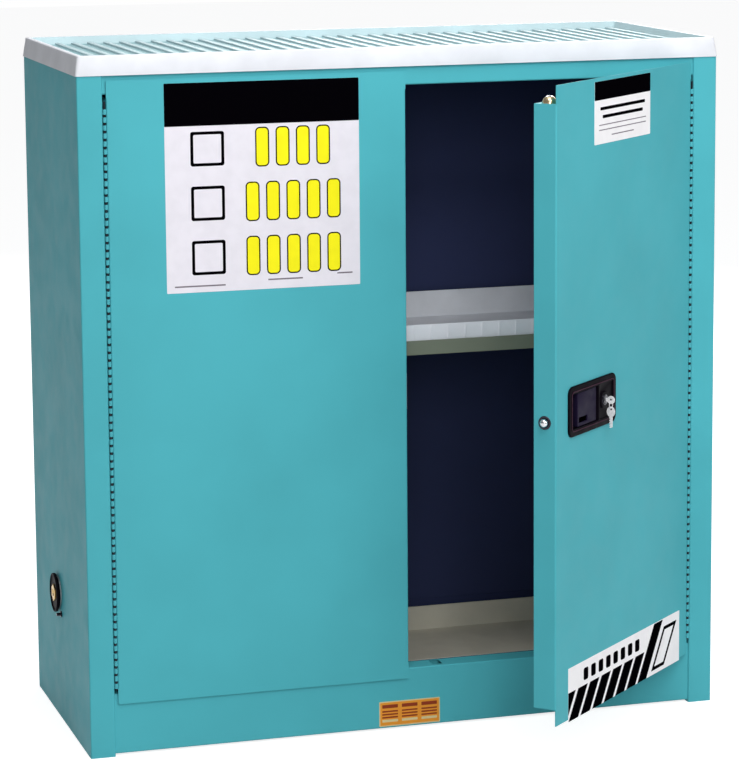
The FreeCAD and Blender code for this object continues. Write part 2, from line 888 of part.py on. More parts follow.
pivot_start = Vector(pivot_x, well_bottom - bezel_wall, -pivot_depth)
pivot_length = well_top - well_bottom + 2 * bezel_wall


def handle_bezel():
    """Moulded frame with a deep well for the paddle and a shallow panel for the lock."""
    plate = rounded_block(bezel_left, bezel_right, bezel_bottom, bezel_top, 0, bezel_proud, bezel_corner)
    rim = [edge for edge in plate.Edges if edge.BoundBox.ZMin > bezel_proud / 2]
    plate = plate.makeChamfer(bezel_edge, rim)
    box = block(well_left - bezel_wall, bezel_right - bezel_border, well_bottom - bezel_wall,
                well_top + bezel_wall, -bezel_depth, 0)
    well = block(well_left, well_right, well_bottom, well_top, bezel_wall - bezel_depth,
                 bezel_proud + overrun)
    panel_left = well_right + 2 * bezel_wall
    panel_right = bezel_right - bezel_border - bezel_wall
    panel_front = bezel_proud - lock_recess
    panel = block(panel_left, panel_right, well_bottom, well_top, panel_front, bezel_proud + overrun)
    pocket = block(panel_left, panel_right, well_bottom, well_top, -bezel_depth - overrun,
                   panel_front - bezel_wall)
    lock_centre = Vector(lock_x, lock_z, 0)
    boss = regular_prism(hexagon_sides, boss_radius, lock_centre + UP * (panel_front - bezel_wall), UP,
                         bezel_wall + lock_recess + boss_proud)
    lock_hole = regular_prism(round_sides, lock_radius, lock_centre - UP * bezel_depth, UP, 2 * bezel_depth)
    pin_hole = clear_bore(tiny_sides, pivot_pin_radius, pivot_start, NORTH, pivot_length)
    lever_low = bezel_middle + lever_rise - lever_slot_play
    lever_high = lever_low + lever_height + 2 * lever_slot_play
    lever_slot = block(pivot_x - lever_slot_left, pivot_x + lever_slot_right, lever_low, lever_high,
                       -bezel_depth - overrun, overrun - bezel_depth)
    bezel = join(plate, box).cut([well, panel, pocket])
    return upright(join(bezel, boss).cut([lock_hole, pin_hole, lever_slot]))


def paddle():
    """Pull plate with a finger lip, two cheeks, a pivot barrel and a lever at the back."""
    low = bezel_middle - paddle_height / 2
    high = bezel_middle + paddle_height / 2
    back = paddle_front - paddle_skin
    plate = block(paddle_left, paddle_right, low, high, back, paddle_front)
    lip = block(paddle_left, paddle_left + paddle_skin, low, high, back - paddle_lip, back)
    cheek = block(paddle_right - paddle_cheek_width, paddle_right, low, low + paddle_cheek,
                  -pivot_depth, back)
    other_cheek = cheek.copy()
    other_cheek.translate(NORTH * (paddle_height - paddle_cheek))
    pivot = Vector(pivot_x, low, -pivot_depth)
    barrel = regular_prism(small_sides, pivot_barrel_radius, pivot, NORTH, paddle_height)
    bore = clear_bore(tiny_sides, pivot_pin_radius + turning_play, pivot, NORTH, paddle_height)
    lever_low = bezel_middle + lever_rise
    lever = block(pivot_x - lever_thickness / 2, pivot_x + lever_thickness / 2, lever_low,
                  lever_low + lever_height, -pivot_depth - lever_reach, -pivot_depth)
    notch = block(paddle_left + notch_inset, paddle_left + notch_inset + notch_width, low + notch_inset,
                  low + notch_inset + notch_height, back - overrun, overrun)
    return upright(join(plate, lip, cheek, other_cheek, barrel, lever).cut([bore, notch]))


def paddle_pin():
    """Pin that the paddle turns on, held in the bezel."""
    return upright(Part.makeCylinder(pivot_pin_radius, pivot_length, pivot_start, NORTH))


def cam_point(arm, angle):
    """A point of the cam at rest, from its arm and its angle about the cam's centre."""
    turn = math.radians(angle)
    return Vector(cam_x + arm * math.cos(turn), bezel_middle + arm * math.sin(turn), 0)


left_pin = cam_point(cam_arm, 180 - cam_swing / 2)
right_pin = cam_point(cam_arm, -cam_swing / 2)
lower_pin = cam_point(cam_arm, 270 - cam_swing / 2)
finger = cam_point(finger_arm, finger_angle)


def latch_cam():
    """Plate with four arms: three pins move the latch rods, and a finger feels the paddle's lever."""
    centre = Vector(cam_x, bezel_middle, 0)
    back = -rod_front
    pieces = []
    for tip in (left_pin, right_pin, lower_pin, finger):
        arm = block(0, (tip - centre).Length, -cam_width / 2, cam_width / 2, 0, cam_thickness)
        arm.rotate(ORIGIN, UP, math.degrees(math.atan2(tip.y - centre.y, tip.x - centre.x)))
        arm.translate(centre + UP * back)
        pieces += [arm, regular_prism(small_sides, cam_pad_radius, tip + UP * back, UP, cam_thickness)]
    for tip in (left_pin, right_pin, lower_pin):
        pieces.append(regular_prism(small_sides, cam_pin_radius, tip + UP * (back - cam_pin_length), UP,
                                    cam_pin_length + cam_thickness))
    finger_high = cam_thickness + finger_length
    pieces.append(regular_prism(small_sides, finger_radius, finger + UP * back, UP, finger_high))
    hub = regular_prism(small_sides, cam_hub_radius, centre + UP * back, UP, cam_thickness)
    bore = clear_bore(small_sides, cam_axle_radius + turning_play, centre + UP * (back - overrun), UP,
                      2 * overrun + cam_thickness)
    return upright(join(hub, *pieces).cut(bore))


def cam_axle():
    """Stud on the back of the bezel that carries the cam."""
    start = Vector(cam_x, bezel_middle, -bezel_depth)
    return upright(Part.makeCylinder(cam_axle_radius, cam_axle_length, start, -UP))


def rod_slot(pin, across, along):
    """Slot in a rod for one of the cam's pins."""
    return block(pin.x - across / 2, pin.x + across / 2, pin.y - along / 2, pin.y + along / 2,
                 -rod_back - overrun, overrun - rod_front)


def rod_plate(x0, x1, y0, y1):
    """A flat length of rod in the rods' own layer."""
    return block(x0, x1, y0, y1, -rod_back, -rod_front)


def top_latch_rod():
    """Cranked rod whose domed end is the top latch."""
    half = rod_width / 2
    half_leg = slot_length / 2 + slot_edge
    slot_high = 2 * (cam_pin_radius + slot_play)
    foot = bezel_middle + top_foot_rise
    bolt_start = box_top + top_bolt_radius - top_bolt_length
    upright_bar = rod_plate(top_bolt_x - half, top_bolt_x + half, foot, bolt_start + overrun)
    crank = rod_plate(top_bolt_x - half, left_pin.x + half_leg, foot, foot + rod_width)
    leg = rod_plate(left_pin.x - half_leg, left_pin.x + half_leg,
                    left_pin.y - slot_high / 2 - slot_edge, foot)
    bolt = domed_bar(top_bolt_radius, top_bolt_length, Vector(top_bolt_x, bolt_start, -bolt_depth), NORTH)
    rod = join(upright_bar, crank, leg).cut(rod_slot(left_pin, slot_length, slot_high))
    return upright(join(rod, bolt))


def bottom_latch_rod():
    """Cranked rod whose domed end is the bottom latch."""
    half = rod_width / 2
    half_leg = slot_length / 2 + slot_edge
    slot_high = 2 * (cam_pin_radius + slot_play)
    foot = bezel_middle - bottom_foot_drop
    bolt_start = box_bottom - bottom_bolt_drop + bottom_bolt_length
    upright_bar = rod_plate(bottom_bolt_x - half, bottom_bolt_x + half, bolt_start - bolt_neck, foot)
    crank = rod_plate(bottom_bolt_x - half, right_pin.x + half_leg, foot, foot + rod_width)
    leg = rod_plate(right_pin.x - half_leg, right_pin.x + half_leg, foot,
                    right_pin.y + slot_high / 2 + slot_edge)
    neck = block(bottom_bolt_x - half, bottom_bolt_x + half, bolt_start - bolt_neck, bolt_start,
                 -rod_back, -bolt_depth)
    bolt = domed_bar(bottom_bolt_radius, bottom_bolt_length,
                     Vector(bottom_bolt_x, bolt_start, -bolt_depth), -NORTH)
    rod = join(upright_bar, crank, leg).cut(rod_slot(right_pin, slot_length, slot_high))
    return upright(join(rod, neck, bolt))


def side_latch_bolt():
    """Domed bolt at the door's free edge, with the link that draws it in."""
    tail_x = door_free_x - side_bolt_reach + side_bolt_length
    bolt = domed_bar(side_bolt_radius, side_bolt_length, Vector(tail_x, side_bolt_height, -bolt_depth),
                     -EAST)
    half = link_width / 2
    neck = tail_x - link_neck
    lug = block(neck, tail_x, side_bolt_height - half, side_bolt_height + half, -rod_back,
                link_lug - rod_back)
    leg = rod_plate(neck, tail_x, lower_pin.y - half, side_bolt_height + half)
    link = rod_plate(neck, lower_pin.x + slot_edge + cam_pin_radius + slot_play, lower_pin.y - half,
                     lower_pin.y + half)
    slot = rod_slot(lower_pin, 2 * (cam_pin_radius + slot_play), link_slot)
    return upright(join(lug, leg, link, bolt).cut(slot))


def side_latch_barrel():
    """Sleeve with an outside collar that guides the side latch."""
    start = Vector(door_free_x, bolt_depth, side_bolt_height)
    sleeve = regular_prism(round_sides, latch_barrel_radius, start, EAST, latch_barrel_length)
    collar = regular_prism(round_sides, barrel_collar_radius, start, -EAST, barrel_collar)
    bore = clear_bore(round_sides, side_bolt_radius + side_bolt_play, start - EAST * overrun, EAST,
                      latch_barrel_length + 2 * overrun)
    return join(sleeve, collar).cut(bore)


def rod_guides():
    """Guide blocks on the inner pan that steady the two long rods."""
    guides = []
    low = rod_front - guide_wall
    high = door_depth - sheet
    half = rod_width / 2 + rod_play
    top_span = box_top - bezel_top
    bottom_span = bezel_bottom - box_bottom
    for x, middle in ((top_bolt_x, bezel_top + top_span * guide_share),
                      (bottom_bolt_x, box_bottom + bottom_span * guide_share)):
        guide = block(x - guide_width / 2, x + guide_width / 2, low - rod_play, high,
                      middle, middle + guide_height)
        guides.append(guide.cut(block(x - half, x + half, rod_front - rod_play, rod_back + rod_play,
                                      middle - overrun, middle + guide_height + overrun)))
    return group(*guides)


# The lock and its keys

def lock_cylinder():
    """Fixed body of the lock."""
    centre = Vector(lock_x, lock_z, -lock_length)
    length = lock_length + lock_front
    body = regular_prism(round_sides, lock_radius, centre, UP, length)
    return upright(body.cut(clear_bore(round_sides, plug_radius + turning_play, centre, UP, length)))


def key_blade(radial):
    """The space that the key's blade takes up in the plug."""
    front = lock_front + plug_proud
    return block(lock_x - key_thickness / 2, lock_x + key_thickness / 2, lock_z - radial / 2,
                 lock_z + radial / 2, front - key_blade_length, front)


def lock_plug():
    """Turning plug with the lock's tongue behind it."""
    front = lock_front + plug_proud
    plug = Part.makeCylinder(plug_radius, lock_length + front, Vector(lock_x, lock_z, -lock_length), UP)
    tongue = block(lock_x - tongue_width / 2, lock_x + tongue_width / 2, lock_z - tongue_width / 2,
                   lock_z + tongue_length, -lock_length - tongue_thickness, -lock_length)
    return upright(join(plug, tongue).cut(key_blade(key_blade_width)))


def lock_key():
    """Key left in the lock, with its bow upright."""
    front = lock_front + plug_proud
    shank = block(lock_x - key_thickness / 2, lock_x + key_thickness / 2, lock_z - key_blade_width / 2,
                  lock_z + key_blade_width / 2, front, key_centre - key_bow_radius / 2)
    bow_start = Vector(lock_x - key_thickness / 2, lock_z, key_centre)
    bow = regular_prism(round_sides, key_bow_radius, bow_start, EAST, key_thickness)
    hole = Part.makeCylinder(key_hole_radius, 2 * overrun + key_thickness, bow_start - EAST * overrun, EAST)
    return upright(join(key_blade(key_blade_width), shank, bow).cut(hole))


def key_ring():
    """Flat ring that hangs in the hole of the key in the lock."""
    centre = Vector(lock_x, lock_z - ring_drop, key_centre - ring_wire / 2)
    half = ring_wire / 2
    return upright(ring_prism(round_sides, ring_radius + half, ring_radius - half, centre, UP, ring_wire))


def spare_key():
    """Second key, hanging from the ring."""
    hole_y = lock_z - 2 * ring_drop
    top = hole_y + spare_hole_inset
    x = lock_x - key_thickness / 2
    bow = block(key_centre - spare_bow_width / 2, key_centre + spare_bow_width / 2, top - spare_bow_height,
                top, 0, key_thickness)
    upright_edges = [edge for edge in bow.Edges if edge.BoundBox.ZLength > key_thickness / 2]
    bow = bow.makeChamfer(spare_bow_corner, upright_edges)
    blade = block(key_centre - spare_blade_width / 2, key_centre + spare_blade_width / 2,
                  top - spare_bow_height - spare_blade_length, top - spare_bow_height / 2, 0, key_thickness)
    hole = clear_bore(small_sides, key_hole_radius, Vector(key_centre, hole_y, -overrun), UP,
                      2 * overrun + key_thickness)
    key = join(bow, blade).cut(hole)
    key.rotate(ORIGIN, NORTH, -90)
    key.translate(EAST * (x + key_thickness))
    return upright(key)


# The left-hand door's slide bolts

def slide_bolt(end, way):
    """A flat bolt that ends at a height and slides the given way, with a thumb tab."""
    start = end - way * slide_length
    x0 = slide_x - slide_width / 2
    x1 = slide_x + slide_width / 2
    flat = block(x0, x1, slide_front, slide_back, min(start, end), max(start, end))
    half_tab = slide_tab_thickness / 2
    middle = end - way * (keeper_inset + keeper_height + slide_travel + keeper_wall + half_tab)
    tab = block(x0, x1, slide_back, slide_back + slide_tab, middle - half_tab, middle + half_tab)
    return join(flat, tab)


def slide_keepers():
    """Four keepers on the left-hand pan that the slide bolts run through."""
    half = slide_width / 2 + rod_play
    keepers = []
    for end, way in ((box_top - slide_end_gap, 1), (box_bottom + slide_end_gap, -1)):
        for place in (keeper_inset + keeper_height / 2, slide_length - keeper_height / 2):
            z = end - way * place
            keeper = block(slide_x - half - keeper_wall, slide_x + half + keeper_wall, door_depth,
                           slide_back + rod_play + keeper_wall, z - keeper_height / 2, z + keeper_height / 2)
            way_through = block(slide_x - half, slide_x + half, slide_front - rod_play, slide_back + rod_play,
                                z - keeper_height, z + keeper_height)
            keepers.append(keeper.cut(way_through))
    return group(*keepers)


def at_rest_open(shape):
    """Swing a piece of the right-hand door from shut to where it stands at rest."""
    shape = shape.copy()
    shape.rotate(Vector(hinge_x, 0, 0), UP, door_open_angle)
    return shape


fixed = {
    "side_panel_right": side_panel(),
    "side_panel_left": left_side_panel(),
    "back_panel": back_panel(),
    "top_panel": top_panel(),
    "base_panel": base_panel(),
    "header_rail": header_rail(),
    "sill_rail": sill_rail(),
    "liner_side_right": liner_side(),
    "liner_side_left": mirrored(liner_side()),
    "liner_back": liner_back(),
    "liner_ceiling": liner_ceiling(),
    "sump_pan": sump_pan(),
    "shelf": shelf(),
    "shelf_brackets": shelf_brackets(),
    "shelf_tray": shelf_tray(),
    "floor_tray": floor_tray(),
    "work_tray": work_tray(),
    "vent_sleeve_right": vent_sleeve(),
    "vent_sleeve_left": mirrored(vent_sleeve()),
    "flame_screens": group(vent_screen(), mirrored(vent_screen())),
    "vent_bung_right": vent_bung(),
    "vent_bung_left": mirrored(vent_bung()),
    "ground_stud": ground_stud(),
    "foot_nuts": foot_nuts(),
    "right_hinge_frame_leaf": hinge_leaf(1, 0),
    "left_hinge_frame_leaf": mirrored(hinge_leaf(1, 0)),
    "right_hinge_pin": hinge_pin(),
    "left_hinge_pin": mirrored(hinge_pin()),
    "left_hinge_door_leaf": mirrored(hinge_leaf(-1, 1)),
    "left_door_skin": left_door_skin(),
    "left_door_pan": left_door_pan(),
    "strike_plate": strike_plate(),
    "top_slide_bolt": slide_bolt(box_top - slide_end_gap, 1),
    "bottom_slide_bolt": slide_bolt(box_bottom + slide_end_gap, -1),
    "slide_bolt_keepers": slide_keepers(),
}
for (x, y), place in zip(foot_places(), ("front_left", "back_left", "front_right", "back_right")):
    fixed["levelling_foot_" + place] = levelling_foot(x, y)

swung = {
    "right_door_skin": right_door_skin(),
    "right_door_pan": right_door_pan(),
    "right_hinge_door_leaf": hinge_leaf(-1, 1),
    "handle_bezel": handle_bezel(),
    "paddle": paddle(),
    "paddle_pin": paddle_pin(),
    "latch_cam": latch_cam(),
    "cam_axle": cam_axle(),
    "top_latch_rod": top_latch_rod(),
    "bottom_latch_rod": bottom_latch_rod(),
    "side_latch_bolt": side_latch_bolt(),
    "side_latch_barrel": side_latch_barrel(),
    "rod_guides": rod_guides(),
    "lock_cylinder": lock_cylinder(),
    "lock_plug": lock_plug(),
    "lock_key": lock_key(),
    "key_ring": key_ring(),
    "spare_key": spare_key(),
}

nodes = dict(fixed)
nodes.update({name: at_rest_open(shape) for name, shape in swung.items()})

os.makedirs("parts", exist_ok=True)
for name, shape in nodes.items():
    shape = shape.copy()
    shape.translate(NORTH * -middle_y)
    shape.exportStep("parts/" + name + ".step")
    print(name, len(shape.Solids), shape.isValid(), round(shape.Volume))
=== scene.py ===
import json
import math

import bmesh
import bpy
from mathutils import Matrix, Vector

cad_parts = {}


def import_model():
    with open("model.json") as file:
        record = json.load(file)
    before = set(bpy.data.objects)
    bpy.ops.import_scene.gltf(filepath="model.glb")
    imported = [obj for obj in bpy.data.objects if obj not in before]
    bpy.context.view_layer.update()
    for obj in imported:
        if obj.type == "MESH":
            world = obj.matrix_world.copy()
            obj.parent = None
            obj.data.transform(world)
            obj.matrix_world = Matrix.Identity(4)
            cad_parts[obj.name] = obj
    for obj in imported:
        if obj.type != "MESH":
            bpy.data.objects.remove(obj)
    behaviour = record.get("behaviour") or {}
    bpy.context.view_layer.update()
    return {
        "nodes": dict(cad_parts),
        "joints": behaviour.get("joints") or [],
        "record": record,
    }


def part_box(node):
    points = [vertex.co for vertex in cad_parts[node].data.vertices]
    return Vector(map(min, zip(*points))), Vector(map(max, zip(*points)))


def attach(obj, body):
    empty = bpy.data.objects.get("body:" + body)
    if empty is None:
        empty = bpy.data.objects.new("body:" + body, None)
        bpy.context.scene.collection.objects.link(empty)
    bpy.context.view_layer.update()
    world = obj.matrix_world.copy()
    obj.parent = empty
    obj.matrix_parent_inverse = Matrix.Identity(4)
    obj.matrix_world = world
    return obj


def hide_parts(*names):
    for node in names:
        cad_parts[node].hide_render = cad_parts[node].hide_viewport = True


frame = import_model()

# Everything is in metres in the cabinet's own frame. Pieces of the right-hand door are built where
# they lie with the door shut, and are then swung to where it stands open.
MM = 0.001

# The camera and the stage
CAMERA_PLACE = Vector((-1.4972, -4.8624, 1.5218))
CAMERA_YAW = 16.6
CAMERA_PITCH = -8.86
CAMERA_ROLL = -0.45
CAMERA_LENS = 142.64
CAMERA_SENSOR = 36.0
CAMERA_SHIFT_Y = -0.12
FLOOR_SIZE = 40.0
FLOOR_COLOUR = (0.5, 0.5, 0.5, 1)
FLOOR_ROUGHNESS = 0.95
FLOOR_GLOSS = 0.1
FLOOR_LIFT = 0.82
WHITE = (1, 1, 1, 1)
SKY_COLOUR = (0.95, 0.97, 1.0, 1)
SKY_STRENGTH = 0.27

# Each lamp's name, place, target, size and power
LAMPS = (
    ("key", (0.3, -2.4, 3.1), (0.1, 0.0, 0.8), 1.4, 42),
    ("right_fill", (2.8, -3.6, 2.6), (0.3, -0.2, 0.7), 2.4, 46),
    ("front_fill", (-1.2, -5.2, 2.2), (0.0, 0.0, 0.7), 2.0, 64),
    ("steep", (-0.4, -1.3, 3.7), (0.0, -0.1, 0.4), 1.2, 34),
    ("top", (0.0, 0.4, 3.6), (0.0, 0.1, 1.1), 2.0, 12),
    ("back_fill", (1.9, 3.9, 2.4), (0.0, 0.4, 0.6), 2.5, 125),
)

# Textures: where blends start and end, and each relief's strength and depth
BLEND_START = 0.35
BLEND_END = 0.65
RANGE_START = 0.3
RANGE_END = 0.7
ENAMEL_BLOTCH = 0.04
PEEL_STRENGTH = 0.2
PEEL_DEPTH = 0.0003
GRAIN_SCALE = 900.0
GRAIN_STRENGTH = 0.2
GRAIN_DEPTH = 0.0002
MARK_STRENGTH = 0.1
PRINT_STRENGTH = 0.05
MARK_DEPTH = 0.0001

# Meshes
SMOOTH_ANGLE = math.radians(32)
SHARP_ANGLE = math.radians(35)
FLAT_ANGLE = math.radians(1)
WELD_DISTANCE = 1e-6
POINT_RADIUS = 1e-7
ROUND_STEPS = 48
CORNER_STEPS = 3
BAR_STEPS = 2
HEXAGON = 6
EDGE_SEGMENTS = 2
RIM_SEGMENTS = 4
UP = Vector((0, 0, 1))
LEFT = Vector((-1, 0, 0))
RIGHT = Vector((1, 0, 0))
OUTWARD = Vector((0, -1, 0))

# The continuous hinges
KNUCKLE_PITCH = 12.7 * MM
KNUCKLE_GAP = 4.6 * MM
KNUCKLE_RADIUS = 2.7 * MM
KNUCKLE_BORE = 1.65 * MM
LEAF_THICKNESS = 1.5 * MM
KNUCKLE_SIDES = 16

# The latch bolts and the lock
TOP_BOLT_RADIUS = 12.0 * MM
BOTTOM_BOLT_RADIUS = 6.5 * MM
SIDE_BOLT_RADIUS = 7.0 * MM
TOP_COVER_LENGTH = 26.0 * MM
BOTTOM_COVER_LENGTH = 24.0 * MM
SIDE_COVER_LENGTH = 24.0 * MM
COVER_SKIN = 0.05 * MM
DOME_STEPS = 10
SLEEVE_PLAY = 0.3 * MM
SLEEVE_RADIUS = 9.0 * MM
COLLAR_RADIUS = 11.0 * MM
COLLAR_LENGTH = 0.8 * MM
PLUG_RADIUS = 6.0 * MM
PLUG_SKIN = 0.03 * MM
PLUG_PLAY = 0.1 * MM
PLUG_DEPTH = 6.0 * MM
LOCK_EDGE = 0.8 * MM

# The handle
BEZEL_ROUND = 0.5 * MM
PADDLE_ROUND = 0.7 * MM
LIP_INSET = 8.2 * MM
LIP_WIDTH = 1.3 * MM
LIP_RISE = 0.25 * MM
LIP_DEPTH = 0.6 * MM
LIP_CORNER = 7.0 * MM

# The keys
KEY_THICKNESS = 2.0 * MM
KEY_BOW_RADIUS = 7.5 * MM
KEY_BOW_TRIM = 1.0 * MM
KEY_HOLE_RADIUS = 2.2 * MM
KEY_SHANK_HALF = 3.0 * MM
SPARE_BLADE_HALF = 2.5 * MM
KEY_CUT_DEPTH = 1.3 * MM
KEY_CUTS = 4
KEY_BOW_STEPS = 18
KEY_HOLE_SIDES = 24
SPARE_BOW_HEIGHT = 17.0 * MM
SPARE_HOLE_TO_TOP = 4.0 * MM
RING_WIRE_RADIUS = 0.6 * MM
RING_WIRE_SIDES = 12

# The vent bungs and the ground stud
BUNG_EDGE = 0.8 * MM
BUNG_DISH = 1.6 * MM
BUNG_STEP = 4.5 * MM
BUNG_WALL = 3.0 * MM
BUNG_BODY_RADIUS = 23.5 * MM
BUNG_FLANGE = 4.0 * MM
BUNG_FLOOR = 0.2 * MM
BUNG_SIDES = 64
HUB_RADIUS = 15.0 * MM
HUB_EDGE = 0.7 * MM
HUB_SOCKET_RADIUS = 7.0 * MM
HUB_SOCKET_DEPTH = 2.2 * MM
STUD_RADIUS = 3.0 * MM
STUD_BASE = 2.5 * MM
STUD_BASE_RADIUS = 5.5 * MM
STUD_EDGE = 0.4 * MM
STUD_SIDES = 32
THREAD_DEPTH = 0.35 * MM
THREADS = 7

# The trays
TRAY_RIM = 14.0 * MM
TRAY_DEEP = 16.0 * MM
TRAY_SHALLOW = 4.0 * MM
TRAY_RIB_TOP = 12.0 * MM
TRAY_OUTER = 7.0 * MM
TRAY_ROUND = 4.0 * MM
TRAY_TOP_EDGE = 1.0 * MM
TRAY_EDGE_ROUND = 0.8 * MM
SHELF_TRAY_ROUND = 0.5 * MM
FLOOR_TRAY_ROUND = 0.8 * MM
FACES_UP = 0.9

# The signs, which carry bare bands, bars and stripes
SIGN_THICKNESS = 0.3 * MM
INK = 0.06 * MM
BIG_SIGN = (-405 * MM, -81 * MM, 762 * MM, 1101 * MM)
BIG_SIGN_BAND_SHARE = 0.205
BIG_SIGN_CORNER = 1.5 * MM
SMALL_SIGN = (132 * MM, 337 * MM, 1003 * MM, 1103 * MM)
SMALL_SIGN_BAND_SHARE = 0.30
STRIP_SIGN = (44 * MM, 466 * MM, 84 * MM, 172 * MM)
STRIP_SIGN_CORNER = 0.8 * MM
STRIPES = 7
BARS = 8
KICK_SIGN = (-53 * MM, 54 * MM, 7 * MM, 50 * MM)


# Materials

def srgb(red, green, blue):
    """A colour from its screen values, 0 to 255, as linear light."""
    def linear(value):
        share = value / 255
        return share / 12.92 if share <= 0.04045 else ((share + 0.055) / 1.055) ** 2.4
    return (linear(red), linear(green), linear(blue), 1.0)


def shaded(colour, factor):
    """The same colour, lighter or darker."""
    return tuple(min(1.0, part * factor) for part in colour[:3]) + (1.0,)


def new_material(name, roughness, metallic=0.0, gloss=0.5):
    """A material with its shader ready to be given a colour."""
    material = bpy.data.materials.new(name)
    material.use_nodes = True
    shader = material.node_tree.nodes["Principled BSDF"]
    shader.inputs["Roughness"].default_value = roughness
    shader.inputs["Metallic"].default_value = metallic
    shader.inputs["Specular IOR Level"].default_value = gloss
    return material, material.node_tree, shader


def object_place(tree, stretch=(1, 1, 1)):
    """Positions on the piece in metres, stretched along each axis."""
    coords = tree.nodes.new("ShaderNodeTexCoord")
    mapping = tree.nodes.new("ShaderNodeMapping")
    mapping.inputs["Scale"].default_value = stretch
    tree.links.new(coords.outputs["Object"], mapping.inputs["Vector"])
    return mapping.outputs["Vector"]


def noise(tree, place, scale, detail=3.0):
    """Soft noise over the piece."""
    texture = tree.nodes.new("ShaderNodeTexNoise")
    texture.inputs["Scale"].default_value = scale
    texture.inputs["Detail"].default_value = detail
    tree.links.new(place, texture.inputs["Vector"])
    return texture.outputs["Fac"]


def spread(tree, factor, low, high):
    """Two colours mixed by a factor."""
    ramp = tree.nodes.new("ShaderNodeValToRGB")
    ramp.color_ramp.elements[0].position = BLEND_START
    ramp.color_ramp.elements[0].color = low
    ramp.color_ramp.elements[1].position = BLEND_END
    ramp.color_ramp.elements[1].color = high
    tree.links.new(factor, ramp.inputs["Fac"])
    return ramp.outputs["Color"]


def between(tree, factor, low, high):
    """A number that runs from low to high with a factor."""
    ranged = tree.nodes.new("ShaderNodeMapRange")
    ranged.inputs["From Min"].default_value = RANGE_START
    ranged.inputs["From Max"].default_value = RANGE_END
    ranged.inputs["To Min"].default_value = low
    ranged.inputs["To Max"].default_value = high
    tree.links.new(factor, ranged.inputs["Value"])
    return ranged.outputs["Result"]


def bump(tree, shader, height, strength, distance):
    """Relief on the shader from a height."""
    node = tree.nodes.new("ShaderNodeBump")
    node.inputs["Strength"].default_value = strength
    node.inputs["Distance"].default_value = distance
    tree.links.new(height, node.inputs["Height"])
    tree.links.new(node.outputs["Normal"], shader.inputs["Normal"])


def enamel(name, colour, roughness, gloss=0.12):
    """Powder coat: a slightly uneven colour with a fine orange peel."""
    material, tree, shader = new_material(name, roughness, gloss=gloss)
    place = object_place(tree)
    clouds = noise(tree, place, 5.0)
    dark, light = shaded(colour, 1 - ENAMEL_BLOTCH), shaded(colour, 1 + ENAMEL_BLOTCH)
    tree.links.new(spread(tree, clouds, dark, light), shader.inputs["Base Color"])
    tree.links.new(between(tree, noise(tree, place, 30.0), roughness - 0.04, roughness + 0.05),
                   shader.inputs["Roughness"])
    bump(tree, shader, noise(tree, place, 650.0, 2.0), PEEL_STRENGTH, PEEL_DEPTH)
    return material


def moulded(name, colour, roughness, gloss=0.4):
    """Moulded plastic with a fine grain."""
    material, tree, shader = new_material(name, roughness, gloss=gloss)
    place = object_place(tree)
    clouds = noise(tree, place, 14.0)
    tree.links.new(spread(tree, clouds, shaded(colour, 0.94), shaded(colour, 1.05)),
                   shader.inputs["Base Color"])
    tree.links.new(between(tree, noise(tree, place, 60.0), roughness - 0.05, roughness + 0.06),
                   shader.inputs["Roughness"])
    bump(tree, shader, noise(tree, place, GRAIN_SCALE, 2.0), GRAIN_STRENGTH, GRAIN_DEPTH)
    return material


def plated(name, colour, roughness, stretch=(1, 1, 1), metallic=1.0):
    """Plated or polished metal with faint marks along its making."""
    material, tree, shader = new_material(name, roughness, metallic)
    place = object_place(tree, stretch)
    marks = noise(tree, place, 260.0)
    tree.links.new(spread(tree, marks, shaded(colour, 0.86), shaded(colour, 1.06)),
                   shader.inputs["Base Color"])
    smooth, rough = max(0.04, roughness - 0.06), roughness + 0.1
    tree.links.new(between(tree, noise(tree, place, 90.0), smooth, rough), shader.inputs["Roughness"])
    bump(tree, shader, marks, MARK_STRENGTH, MARK_DEPTH)
    return material


def printed(name, colour, roughness=0.4, gloss=0.2):
    """Ink or film on a sign, very slightly uneven."""
    material, tree, shader = new_material(name, roughness, gloss=gloss)
    clouds = noise(tree, object_place(tree), 40.0)
    tree.links.new(spread(tree, clouds, shaded(colour, 0.97), shaded(colour, 1.02)),
                   shader.inputs["Base Color"])
    bump(tree, shader, noise(tree, object_place(tree), 300.0), PRINT_STRENGTH, MARK_DEPTH)
    return material


TEAL = srgb(80, 177, 188)
materials = {
    "teal_enamel": enamel("teal_enamel", TEAL, 0.5),
    # Dark navy for the inside is painted shade: the inside is teal like the outside and only lies in
    # shadow.
    "dark_enamel": enamel("dark_enamel", srgb(50, 57, 92), 0.6, 0.1),
    "grey_enamel": enamel("grey_enamel", srgb(120, 127, 112), 0.45),
    "white_plastic": moulded("white_plastic", srgb(226, 228, 234), 0.5, 0.3),
    "cream_plastic": moulded("cream_plastic", srgb(206, 200, 184), 0.5),
    "black_plastic": moulded("black_plastic", srgb(9, 5, 13), 0.5, 0.04),
    "zinc_steel": plated("zinc_steel", srgb(190, 192, 196), 0.32, (1, 1, 6)),
    "bright_chrome": plated("bright_chrome", srgb(214, 214, 218), 0.12),
    # Near-white with little metal in it: a painted highlight that stands in for the glare on the keys'
    # polished steel.
    "key_steel": plated("key_steel", srgb(250, 248, 252), 0.4, metallic=0.15),
    "ground_brass": plated("ground_brass", srgb(190, 158, 92), 0.28),
}
paddle_plastic = moulded("paddle_plastic", srgb(26, 19, 44), 0.5, 0.08)
bezel_lip_plastic = moulded("bezel_lip_plastic", srgb(58, 26, 46), 0.5, 0.1)
black_chrome = plated("black_chrome", srgb(52, 52, 60), 0.16)
yellow_zinc = plated("yellow_zinc", srgb(226, 204, 160), 0.22)
